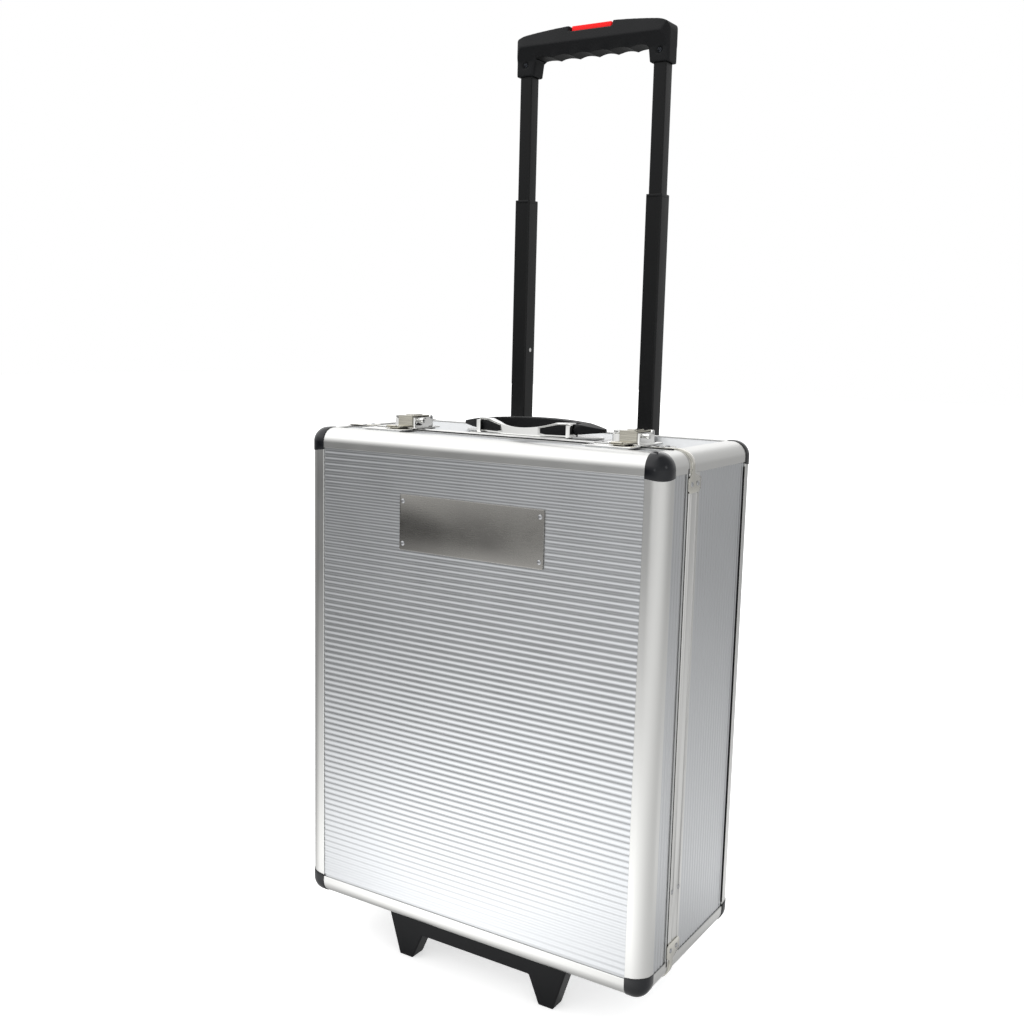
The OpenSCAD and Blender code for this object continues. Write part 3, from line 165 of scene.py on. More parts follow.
# Dark and dull: a painted shadow black for the strips that stand for the shade in the seam's gap and at the
# rear edges, and the tyres' rubber.
SEAM_SHADOW_BLACK = Finish("painted_seam_shadow_black", "0c0c0d", 0.0, 0.7, 0.04, Grain.EVEN, 0.5, 0.01, 0.05, 0.2)
TYRE = Finish("polyurethane_rubber_black", "0e0f10", 0.0, 0.62, 0.06, Grain.EVEN, 0.5, 0.02, 0.06, 0.25)
# Bare boards with their grain across the case, and the pressed felt over them.
PLYWOOD = Finish("poplar_plywood", "c3a274", 0.0, 0.62, 0.06, Grain.ALONG_X, 1.4, 0.03, 0.14)
FELT = Finish("black_felt_lining", "1d1e20", 0.0, 0.92, 0.03, Grain.EVEN, 0.25, 0.08, 0.25, 0.2)

SLOT_FINISH = {
    "ribbed_sheet": SHEET, "extrusion": EXTRUSION, "board": PLYWOOD, "lining": FELT,
    "bright_metal": CHROME, "plate_metal": PLATE, "pin_steel": ZINC, "black_plastic": MATT_BLACK,
    "gloss_black": GLOSS_BLACK, "black_tube": TUBE_BLACK, "red_plastic": RED,
    "hub_plastic": HUB, "tyre_rubber": TYRE,
}
WANDER_MM = 38.0                              # size of the slow patches in every finish
NOISE_LOW, NOISE_HIGH = 0.6, 1.4              # useful range of two noises added up
LEAST_ROUGH = 0.02                            # roughness never goes below this


def add_node(tree: bpy.types.NodeTree, kind: str, feeds: Optional[dict] = None,
             **settings) -> bpy.types.Node:
    """Adds one shader or geometry node.

    Args:
        tree: the tree to add to.
        kind: the node's type name.
        feeds: input socket name or number to the output socket or fixed value that feeds it.
        **settings: the node's own properties.

    Returns:
        The new node.
    """
    node = tree.nodes.new(kind)
    for key, value in settings.items():
        setattr(node, key, value)
    for key, source in (feeds or {}).items():
        if isinstance(source, bpy.types.NodeSocket):
            tree.links.new(source, node.inputs[key])
        else:
            node.inputs[key].default_value = source
    return node


def emptied_tree(owner: bpy.types.ID) -> bpy.types.NodeTree:
    """Gives the node tree of a new material or world, with no nodes in it."""
    owner.use_nodes = True
    owner.node_tree.nodes.clear()
    return owner.node_tree


class MaterialShop:
    """Builds each finish once, as a procedural material on Object coordinates."""

    def __init__(self) -> None:
        """Starts with no materials."""
        self._made: dict[str, bpy.types.Material] = {}

    def get(self, finish: Finish) -> bpy.types.Material:
        """Gives the material of a finish, building it on first use.

        Args:
            finish: the finish wanted.

        Returns:
            Its material.
        """
        if finish.name not in self._made:
            self._made[finish.name] = self._build(finish)
        return self._made[finish.name]

    def _build(self, finish: Finish) -> bpy.types.Material:
        """Builds one material.

        Args:
            finish: the finish wanted.

        Returns:
            The new material.
        """
        material = bpy.data.materials.new(finish.name)
        tree = emptied_tree(material)
        shader = add_node(tree, "ShaderNodeBsdfPrincipled", {
            "Base Color": linear(finish.colour), "Metallic": finish.metallic,
            "Roughness": finish.roughness, "Specular IOR Level": finish.specular})
        add_node(tree, "ShaderNodeOutputMaterial", {"Surface": shader.outputs["BSDF"]})
        self._pattern(tree, finish, shader)
        return material

    @staticmethod
    def _pattern(tree: bpy.types.NodeTree, finish: Finish, shader: bpy.types.Node) -> None:
        """Adds the fine pattern, the slow wander of colour and roughness, and the bump.

        Args:
            tree: the material's tree.
            finish: the finish wanted.
            shader: the shader that they feed.
        """
        add = partial(add_node, tree)
        spot = add("ShaderNodeTexCoord").outputs["Object"]
        drawn = add("ShaderNodeMapping", {"Vector": spot, "Scale": finish.grain.value})
        fine = add("ShaderNodeTexNoise", {"Vector": drawn.outputs["Vector"], "Detail": 3.0,
                                          "Scale": 1.0 / (finish.grain_mm * MM)})
        slow = add("ShaderNodeTexNoise", {"Vector": spot, "Detail": 4.0,
                                          "Scale": 1.0 / (WANDER_MM * MM)})
        both = add("ShaderNodeMath", {0: fine.outputs["Fac"], 1: slow.outputs["Fac"]},
                   operation="ADD")
        noise = {"Value": both.outputs["Value"], "From Min": NOISE_LOW, "From Max": NOISE_HIGH}
        rough = add("ShaderNodeMapRange", {
            **noise, "To Min": max(LEAST_ROUGH, finish.roughness - finish.spread),
            "To Max": finish.roughness + finish.spread})
        level = add("ShaderNodeMapRange", {**noise, "To Min": 1.0 - finish.tint,
                                           "To Max": 1.0 + finish.tint})
        shade = add("ShaderNodeVectorMath", {0: linear(finish.colour)[:3],
                                             1: level.outputs["Result"]}, operation="MULTIPLY")
        tree.links.new(rough.outputs["Result"], shader.inputs["Roughness"])
        tree.links.new(shade.outputs["Vector"], shader.inputs["Base Color"])
        if finish.bump_mm > 0:
            bump = add("ShaderNodeBump", {"Height": fine.outputs["Fac"], "Strength": 1.0,
                                          "Distance": finish.bump_mm * MM})
            tree.links.new(bump.outputs["Normal"], shader.inputs["Normal"])


SHOP = MaterialShop()


# ------------------------------------------------------------------ the CAD frame


class CaseFrame:
    """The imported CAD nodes, their bodies, slots and sizes."""

    def __init__(self, loaded: dict) -> None:
        """Reads the frame.
        """
        record = loaded["record"]
        self.nodes: dict[str, bpy.types.Object] = loaded["nodes"]
        self.slots: dict[str, str] = {s["node"]: s["material_slot"] for s in record["subparts"]}
        self.body_of: dict[str, str] = {
            node: body for body, nodes in record["behaviour"]["bodies"].items() for node in nodes
        }
        self._boxes: dict[str, Box] = {}

    def box(self, node: str) -> Box:
        """Gives a CAD node's lowest and highest corner in millimetres."""
        if node not in self._boxes:
            low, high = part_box(node)
            self._boxes[node] = (low / MM, high / MM)
        return self._boxes[node]


CAD = CaseFrame(frame)
SHEET_RIB = 0.3                               # height of the sheets' ribs, in millimetres
SHOWN_RIB = 0.5                               # share of that height that is shown
THIN_SHEET = 3.0                              # a panel this thin along Y is a front or back one
CASE_MIDDLE = Vector((0.0, -16.4, 300.0))     # a point well inside the case, in millimetres


# ------------------------------------------------------------------ making meshes

# Edges flatter than this many degrees are shaded smooth:
SMOOTH_PARTS = 30.0
SMOOTH_EDGES = 40.0
SMOOTH_MOULDED = 70.0
WELD = 0.001                                  # points closer than this many mm count as one
FLAT = 0.6                                    # faces that turn by fewer degrees are merged


class Solid:
    """Collects closed shapes in millimetres and turns them into one object."""

    def __init__(self, node: str, extra: str = "") -> None:
        """Starts the collection.

        Args:
            node: the CAD node that the object stands for, or is fixed to.
            extra: name of an object that is only fixed to the node.
        """
        self.node = node
        self.extra = extra
        self.bm = bmesh.new()

    def loft(self, loops: Sequence[Sequence[Point]]) -> None:
        """Joins loops of points into one closed solid with flat ends.

        Args:
            loops: loops with the same number of points each, in order along the solid.
        """
        rings = [[self.bm.verts.new(Vector(p)) for p in loop] for loop in loops]
        count = len(rings[0])
        for near, far in zip(rings, rings[1:]):
            for i in range(count):
                j = (i + 1) % count
                self.bm.faces.new((near[i], near[j], far[j], far[i]))
        self.bm.faces.new(list(reversed(rings[0])))
        self.bm.faces.new(rings[-1])

    def bar(self, low: Point, high: Point) -> None:
        """Adds a box.

        Args:
            low: lowest corner.
            high: highest corner.
        """
        (x0, y0, z0), (x1, y1, z1) = low, high
        self.loft([[(x0, y0, z), (x1, y0, z), (x1, y1, z), (x0, y1, z)] for z in (z0, z1)])

    def to_object(self, finish: Optional[Finish] = None, bevel: float = 0.0,
                  angle: float = 35.0) -> bpy.types.Object:
        """Ends the collection as one object.

        Args:
            finish: the material, or None for the one of the node's slot.
            bevel: width of the rounding on sharp edges, in millimetres.
            angle: edges sharper than this many degrees are rounded.

        Returns:
            The new object.
        """
        bmesh.ops.remove_doubles(self.bm, verts=self.bm.verts, dist=WELD)
        bmesh.ops.recalc_face_normals(self.bm, faces=self.bm.faces)
        if bevel > 0:
            soften(self.bm, bevel, angle)
        for vert in self.bm.verts:
            vert.co *= MM
        return place(plain_mesh(self.bm), self.node, SMOOTH_EDGES, finish, self.extra)


def linked(name: str, mesh: bpy.types.Mesh) -> bpy.types.Object:
    """Makes an object of a mesh and puts it in the scene."""
    made = bpy.data.objects.new(name, mesh)
    bpy.context.scene.collection.objects.link(made)
    return made


def plain_mesh(bm: bmesh.types.BMesh) -> bpy.types.Mesh:
    """Gives a mesh data block with a working mesh's shape, and frees the working mesh."""
    mesh = bpy.data.meshes.new("mesh")
    bm.to_mesh(mesh)
    bm.free()
    return mesh


def soften(bm: bmesh.types.BMesh, width: float, angle: float = 35.0) -> None:
    """Rounds the sharp edges of a mesh in two steps.

    Args:
        bm: the mesh, changed in place.
        width: width of the rounding, in the mesh's own unit.
        angle: edges sharper than this many degrees are rounded.
    """
    limit = math.radians(angle)
    edges = [e for e in bm.edges if len(e.link_faces) == 2 and e.calc_face_angle(0.0) > limit]
    bmesh.ops.bevel(bm, geom=edges, offset=width, offset_type="OFFSET", segments=2,
                    profile=0.5, affect="EDGES", clamp_overlap=True)


def place(mesh: bpy.types.Mesh, node: str, smooth: float, finish: Optional[Finish] = None,
          extra: str = "") -> bpy.types.Object:
    """Makes a finished mesh an object that stands for a CAD node or is fixed to it.

    Args:
        mesh: the mesh, in metres.
        node: the CAD node, whose body the object rides on.
        smooth: edges flatter than this many degrees are shaded smooth.
        finish: the material, or None for the one of the node's slot.
        extra: name of an object that is only fixed to the node.

    Returns:
        The new object.
    """
    finish = finish or SLOT_FINISH[CAD.slots[node]]
    name = extra or "look_" + node
    mesh.name = name
    mesh.materials.clear()
    mesh.materials.append(SHOP.get(finish))
    for polygon in mesh.polygons:
        polygon.use_smooth = True
        polygon.material_index = 0
    mesh.set_sharp_from_angle(angle=math.radians(smooth))
    made = linked(name, mesh)
    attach(made, CAD.body_of[node])
    if not extra:
        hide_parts(node)
    log.info("%s, %s, on %s", name, finish.name, CAD.body_of[node])
    return made


def refined(node: str, finish: Optional[Finish] = None, bevel: float = 0.0,
            ribs: float = 1.0) -> bpy.types.Object:
    """Stands for a CAD node with a merged copy of it whose edges are softened.

    Args:
        node: the CAD node.
        finish: the material, or None for the one of the node's slot.
        bevel: width of the rounding in millimetres.
        ribs: share of the ribs' height that is shown, for ribbed sheets.

    Returns:
        The new object.
    """
    bm = bmesh.new()
    bm.from_mesh(CAD.nodes[node].data)
    if ribs < 1.0:
        press_ribs(bm, CAD.box(node), ribs)
    bmesh.ops.remove_doubles(bm, verts=bm.verts, dist=WELD * MM)
    bmesh.ops.dissolve_limit(bm, angle_limit=math.radians(FLAT), verts=bm.verts, edges=bm.edges)
    if bevel > 0:
        soften(bm, bevel * MM)
    return place(plain_mesh(bm), node, SMOOTH_PARTS, finish)


def press_ribs(bm: bmesh.types.BMesh, box: Box, share: float) -> None:
    """Lowers the ribs on the outer sides of a sheet.

    Args:
        bm: the mesh, changed in place.
        box: the sheet's lowest and highest corner, in millimetres.
        share: share of the ribs' height that is left.
    """
    low, high = box
    sides = ([(1, low.y, 1), (1, high.y, -1)] if high.y - low.y < THIN_SHEET else
             [(0, low.x, 1), (0, high.x, -1), (2, low.z, 1), (2, high.z, -1)])
    for vert in bm.verts:
        for axis, outer, inward in sides:
            deep = (vert.co[axis] / MM - outer) * inward
            if deep < SHEET_RIB:
                deep = SHEET_RIB - (SHEET_RIB - deep) * share
                vert.co[axis] = (outer + inward * deep) * MM


def moulded(node: str, voxel: float, passes: int,
            warp: Optional[Callable[[Vector], Vector]] = None) -> bpy.types.Object:
    """Stands for a moulded CAD node with an evenly meshed copy whose edges are all rounded.

    Args:
        node: the CAD node.
        voxel: mesh size in millimetres.
        passes: smoothing passes; more give rounder edges.
        warp: moves each point, in millimetres, after the smoothing.

    Returns:
        The new object.
    """
    source = linked("source_" + node, CAD.nodes[node].data.copy())
    even = source.modifiers.new("even", "REMESH")
    even.mode = "VOXEL"
    even.voxel_size = voxel * MM
    relax = source.modifiers.new("relax", "SMOOTH")
    relax.factor = 0.5
    relax.iterations = passes
    mesh = settled(source)
    if warp:
        for vert in mesh.vertices:
            vert.co = warp(vert.co / MM) * MM
    return place(mesh, node, SMOOTH_MOULDED)


def settled(source: bpy.types.Object) -> bpy.types.Mesh:
    """Turns an object and its modifiers into a plain mesh, and removes it with its old mesh.

    Args:
        source: the object with its modifiers.

    Returns:
        The plain mesh.
    """
    bpy.context.view_layer.update()
    seen = source.evaluated_get(bpy.context.evaluated_depsgraph_get())
    mesh = bpy.data.meshes.new_from_object(seen)
    bpy.data.meshes.remove(source.data)
    return mesh


def cut_mesh(keep: bmesh.types.BMesh, away: bmesh.types.BMesh) -> bpy.types.Mesh:
    """Cuts one closed mesh out of another.

    Args:
        keep: the mesh that stays; it is freed.
        away: the mesh that is taken out; it is freed.

    Returns:
        The mesh that is left.
    """
    pair = []
    for bm in (keep, away):
        bmesh.ops.recalc_face_normals(bm, faces=bm.faces)
        pair.append(linked("cutting", plain_mesh(bm)))
    modifier = pair[0].modifiers.new("cut", "BOOLEAN")
    modifier.operation = "DIFFERENCE"
    modifier.solver = "EXACT"
    modifier.object = pair[1]
    result = settled(pair[0])
    bpy.data.meshes.remove(pair[1].data)
    return result


def clamped(value: float) -> float:
    """Holds a value between 0 and 1."""
    return min(1.0, max(0.0, value))


def soft_share(value: float, low: float, high: float) -> float:
    """Gives how far a value is between two others, from 0 to 1, with soft ends."""
    t = clamped((value - low) / (high - low))
    return t * t * (3 - 2 * t)


@dataclass(frozen=True)
class HandleShape:
    """Taper of the carry handle's tips, in millimetres.

    Attributes:
        start: distance from the middle where the taper starts.
        tip: distance from the middle where it ends.
        level: height over the case top that the tips close in on.
        share: height that is left at the tips.
        curve: how late the taper sets in; 1 is straight.
    """

    start: float = 53.0
    tip: float = 77.0
    level: float = 5.6
    share: float = 0.50
    curve: float = 1.3

    def warp(self, spot: Vector) -> Vector:
        """Closes the carry handle's lobes in towards their tips.

        Args:
            spot: a point of the handle.

        Returns:
            Where it goes.
        """
        t = clamped((abs(spot.x) - self.start) / (self.tip - self.start))
        level = CAD.box("lid_rim_frame")[1].z + self.level
        left = 1 - (1 - self.share) * t ** self.curve
        return Vector((spot.x, spot.y, level + (spot.z - level) * left))


@dataclass(frozen=True)
class GripShape:
    """Extra shape of the pull grip, in millimetres.

    Attributes:
        cad_waves: scallops that the CAD node has.
        cad_depth: depth of the CAD node's scallops.
        waves: scallops that are shown.
        depth: depth of the shown scallops.
        fullness: power that fills out the shown scallops; below 1 is fuller.
        wave_full: height over the bar's underside up to which points follow the scallops.
        wave_end: height over the underside where the last trace of them ends.
        slot: half the width of the middle part that keeps the yoke's slot as it is.
        slot_z: height over the underside where that part starts.
        socket: width of a socket, which is as deep from front to back.
        socket_h: height of the sockets below the bar.
        round_w: width of the rounding at the bar's top corners.
        round_h: its height.
        round_full: depth below the top down to which points follow the rounding.
        round_end: depth where the last trace of it ends.
        flare: how much wider the sockets are on their inner side at the bar.
        flare_over: how far over the bar's underside the flare reaches.
        flare_in: how far past a socket's middle it starts, in half widths from its inner side.
    """

    cad_waves: int = 5
    cad_depth: float = 2.0
    waves: int = 6
    depth: float = 1.9
    fullness: float = 0.8
    wave_full: float = 2.2
    wave_end: float = 9.0
    slot: float = 4.5
    slot_z: float = 2.6
    socket: float = 19.4
    socket_h: float = 14.5
    round_w: float = 13.0
    round_h: float = 4.5
    round_full: float = 6.0
    round_end: float = 17.0
    flare: float = 2.0
    flare_over: float = 3.0
    flare_in: float = 1.1

    def warp(self, spot: Vector) -> Vector:
        """Rounds the bar's top corners, flares the sockets and sets the finger scallops.

        Args:
            spot: a point of the grip.

        Returns:
            Where it goes.
        """
        low, high = CAD.box("pull_grip")
        x, y, z = spot
        across = abs(x)
        under = low.z + self.socket_h
        end = clamped((across - high.x + self.round_w) / self.round_w)
        drop = self.round_h * (1 - math.sqrt(max(0.0, 1 - end * end)))
        z -= drop * soft_share(spot.z, high.z - self.round_end, high.z - self.round_full)
        in_slot = abs(y - (low.y + high.y) / 2) < self.slot and spot.z > under + self.slot_z
        run = high.x - self.socket
        if across < run and spot.z < under + self.wave_end and not in_slot:
            turn = math.tau * (x / (2 * run) + 0.5)
            was = self.cad_depth * (1 - math.cos(turn * self.cad_waves)) / 2
            wanted = self.depth * abs(math.sin(turn * self.waves / 2)) ** self.fullness
            z += (wanted - was) * (
                1 - soft_share(spot.z, under + self.wave_full, under + self.wave_end))
        inner = (high.x - self.socket / 2 - across) / (self.socket / 2)
        if 0 < inner < self.flare_in and spot.z < under + self.flare_over:
            up = clamped((spot.z - low.z) / self.socket_h)
            x -= math.copysign(self.flare * up * inner, x)
        return Vector((x, y, z))


HANDLE_SHAPE = HandleShape()
GRIP_SHAPE = GripShape()


# ------------------------------------------------------------------ rivets and screws


class HeadKind(Enum):
    """Shape of a repeated fastener's head."""

    RIVET = "rivet"
    SCREW = "screw"


@dataclass(frozen=True)
class Fastener:
    """One place that gets a fastener head.

    Attributes:
        foot: middle of the head's underside, in millimetres.
        out: direction away from the part.
    """

    foot: Point
    out: Point


class FastenerNodes:
    """A Geometry Nodes tree that puts one fastener head on each point of a mesh.

    The points carry their direction in the vector attribute "out". The head's radius, its
    height, the seed of its turn and the material are inputs of the tree.
    """

    SIDES = 28
    RINGS = 16
    CROSS_WIDTH = 0.13                        # half width of a cross recess, in head radii
    CROSS_REACH = 0.62                        # its reach from the middle, in head radii
    CROSS_DEPTH = 0.55                        # its depth, in head heights

    def __init__(self, kind: HeadKind) -> None:
        """Builds the tree.

        Args:
            kind: shape of the heads.
        """
        self.kind = kind
        self.tree = bpy.data.node_groups.new("heads_" + kind.value, "GeometryNodeTree")
        self.add = partial(add_node, self.tree)
        self.sockets: dict[str, str] = {}
        face = self.tree.interface
        face.new_socket("Geometry", in_out="OUTPUT", socket_type="NodeSocketGeometry")
        for name, kind_of in (("Geometry", "Geometry"), ("Radius", "Float"), ("Height", "Float"),
                              ("Seed", "Int"), ("Material", "Material")):
            made = face.new_socket(name, in_out="INPUT", socket_type="NodeSocket" + kind_of)
            self.sockets[name] = made.identifier
        self._wire()

    def _wire(self) -> None:
        """Wires points, head, turn, realising and material."""
        add = self.add
        given = add("NodeGroupInput").outputs
        head = self._head(given["Radius"], given["Height"])
        out = add("GeometryNodeInputNamedAttribute", {0: "out"}, data_type="FLOAT_VECTOR")
        aim = add("FunctionNodeAlignRotationToVector", {"Vector": out.outputs[0]}, axis="Z")
        chance = add("FunctionNodeRandomValue", {"Seed": given["Seed"], 3: math.tau},
                     data_type="FLOAT")
        spin = add("FunctionNodeAxisAngleToRotation", {"Angle": chance.outputs[1],
                                                       "Axis": (0, 0, 1)})
        turn = add("FunctionNodeRotateRotation", {0: aim.outputs[0], 1: spin.outputs[0]},
                   rotation_space="LOCAL")
        dots = add("GeometryNodeMeshToPoints", {"Mesh": given["Geometry"]})
        heads = add("GeometryNodeInstanceOnPoints", {"Points": dots.outputs[0], "Instance": head,
                                                     "Rotation": turn.outputs[0]})
        real = add("GeometryNodeRealizeInstances", {"Geometry": heads.outputs[0]})
        named = add("GeometryNodeSetMaterial", {"Geometry": real.outputs[0],
                                                "Material": given["Material"]})
        add("NodeGroupOutput", {"Geometry": named.outputs[0]})

    def _head(self, radius: bpy.types.NodeSocket,
              height: bpy.types.NodeSocket) -> bpy.types.NodeSocket:
        """Adds the nodes of one head, its underside at the origin and its top along Z.

        Args:
            radius: radius of the head.
            height: height of the head.

        Returns:
            The head's geometry.
        """
        ball = self.add("GeometryNodeMeshUVSphere", {0: self.SIDES, 1: self.RINGS, 2: 1.0})
        spot = self.add("GeometryNodeInputPosition")
        x, y, z = self.add("ShaderNodeSeparateXYZ", {0: spot.outputs[0]}).outputs
        maths = partial(self.add, "ShaderNodeMath")
        top = maths({0: z, 1: 0.0}, operation="MAXIMUM").outputs[0]
        if self.kind is HeadKind.SCREW:
            top = maths({0: top, 1: self._cross(x, y)}, operation="MULTIPLY").outputs[0]
        moved = self.add("ShaderNodeCombineXYZ", {
            axis: maths({0: share, 1: size}, operation="MULTIPLY").outputs[0]
            for axis, share, size in (("X", x, radius), ("Y", y, radius), ("Z", top, height))})
        return self.add("GeometryNodeSetPosition", {
            "Geometry": ball.outputs[0], "Position": moved.outputs[0]}).outputs[0]

    def _cross(self, x: bpy.types.NodeSocket, y: bpy.types.NodeSocket) -> bpy.types.NodeSocket:
        """Adds the nodes of a cross recess.

        Args:
            x: place across the head.
            y: place along the head.

        Returns:
            Share of the head's height that the recess leaves.
        """
        maths = partial(self.add, "ShaderNodeMath")
        across, along = (maths({0: v}, operation="ABSOLUTE").outputs[0] for v in (x, y))
        near = maths({0: across, 1: along}, operation="MINIMUM")
        far = maths({0: across, 1: along}, operation="MAXIMUM")
        slim = maths({0: near.outputs[0], 1: self.CROSS_WIDTH}, operation="LESS_THAN")
        short = maths({0: far.outputs[0], 1: self.CROSS_REACH}, operation="LESS_THAN")
        inside = maths({0: slim.outputs[0], 1: short.outputs[0]}, operation="MULTIPLY")
        depth = maths({0: inside.outputs[0], 1: self.CROSS_DEPTH}, operation="MULTIPLY")
        return maths({0: 1.0, 1: depth.outputs[0]}, operation="SUBTRACT").outputs[0]

    def put(self, places: Sequence[Fastener], radius: float, height: float, finish: Finish,
            node: str, extra: str = "") -> bpy.types.Object:
        """Makes one plain object with a head at every place.

        Args:
            places: where the heads go.
            radius: radius of a head in millimetres.
            height: height of a head in millimetres.
            finish: the material.
            node: the CAD node that they stand for, or are fixed to.
            extra: name of heads that are only fixed to the node.

        Returns:
            The new object.
        """
        mesh = bpy.data.meshes.new("places")
        mesh.from_pydata([Vector(p.foot) * MM for p in places], [], [])
        out = mesh.attributes.new("out", "FLOAT_VECTOR", "POINT")
        for item, given in zip(out.data, places):
            item.vector = given.out
        source = linked("places", mesh)
        heads = source.modifiers.new("heads", "NODES")
        heads.node_group = self.tree
        for socket, value in (("Radius", radius * MM), ("Height", height * MM),
                              ("Seed", len(places)), ("Material", SHOP.get(finish))):
            heads[self.sockets[socket]] = value
        return place(settled(source), node, SMOOTH_PARTS, finish, extra)


def islands(node: str) -> list[Box]:
    """Gives the box of each separate piece in a CAD node, in millimetres.

    Args:
        node: the CAD node.

    Returns:
        The lowest and highest corner of every piece.
    """
    bm = bmesh.new()
    bm.from_mesh(CAD.nodes[node].data)
    bmesh.ops.remove_doubles(bm, verts=bm.verts, dist=WELD * MM)
    left = dict.fromkeys(bm.verts)
    boxes = []
    while left:
        group = [left.popitem()[0]]
        for vert in group:
            for edge in vert.link_edges:
                other = edge.other_vert(vert)
                if other in left:
                    del left[other]
                    group.append(other)
        spots = [v.co / MM for v in group]
        low = Vector([min(s[i] for s in spots) for i in range(3)])
        high = Vector([max(s[i] for s in spots) for i in range(3)])
        boxes.append((low, high))
    bm.free()
    return boxes


@dataclass(frozen=True)
class Rivets:
    """Domed heads on the name plate and the seam brackets, each over its CAD rivet.

    Attributes:
        nodes: the CAD nodes of the rivets.
        inside: how much smaller a head is than its CAD rivet, in millimetres.
    """

    nodes: tuple[str, ...] = ("plate_rivets", "bracket_rivets")
    inside: float = 0.01

    def build(self) -> None:
        """Makes the heads of every CAD node."""
        tree = FastenerNodes(HeadKind.RIVET)
        for node in self.nodes:
            places = []
            radius = height = 0.0
            for low, high in islands(node):
                size = high - low
                thin = min(range(3), key=lambda i: size[i])
                foot = (low + high) / 2
                side = 1.0 if foot[thin] > CASE_MIDDLE[thin] else -1.0
                foot[thin] -= side * size[thin] / 2
                out = Vector((0, 0, 0))
                out[thin] = side
                places.append(Fastener(tuple(foot), tuple(out)))
                radius = max(size) / 2
                height = size[thin]
            tree.put(places, radius - self.inside, height - self.inside, ZINC, node)


@dataclass(frozen=True)
class GripScrews:
    """Cross-head screws sunk in the pockets on the fronts of the pull grip's sockets.

    Attributes:
        across: distance of each screw from the middle, in millimetres.
        up: height over the sockets' lower ends.
        pocket: depth of the pockets.
        radius: radius of a head.
        height: height of a head.
    """

    across: float = 71.3
    up: float = 10.5
    pocket: float = 1.5
    radius: float = 2.5
    height: float = 1.2

    def build(self) -> None:
        """Makes both heads."""
        low, high = CAD.box("pull_grip")
        front = (low.y + high.y) / 2 - GRIP_SHAPE.socket / 2 + self.pocket
        places = [Fastener((side * self.across, front, low.z + self.up), (0, -1, 0))
                  for side in (-1, 1)]
        FastenerNodes(HeadKind.SCREW).put(places, self.radius, self.height, BLACK_STEEL,
                                          "pull_grip", "grip_screws")


# ------------------------------------------------------------------ edges and ball corners


@dataclass(frozen=True)
class CaseSize:
    """Sizes of the case that the looks share, in millimetres.

    Attributes:
        edge_r: outer radius of the rounded edges.
        lip_end: reach of the edge extrusions over each face.
        lip: thickness of their outer lips.
        slot: bottom of the panel slots.
        board: depth of the boards' back.
        inside: depth of the inner flanges.
        chamfer: broken edge at the lips' ends.
        proud: how far the ball corners stand proud.
        skirt: how far the ball corners reach over the upright extrusions.
        bulge: how much further they reach round the edge.
        cap_bevel: width of the rounding at the ball corners' rims.
        cap_angle: their edges sharper than this many degrees are rounded.
        cap_room: how far the room inside is cut past their rims, so that they end open.
    """

    edge_r: float = 13.0
    lip_end: float = 18.0
    lip: float = 1.0
    slot: float = 12.0
    board: float = 5.9
    inside: float = 7.1
    chamfer: float = 0.3
    proud: float = 0.6
    skirt: float = 1.6
    bulge: float = 1.6
    cap_bevel: float = 0.35
    cap_angle: float = 50.0
    cap_room: float = 5.0


SIZE = CaseSize()


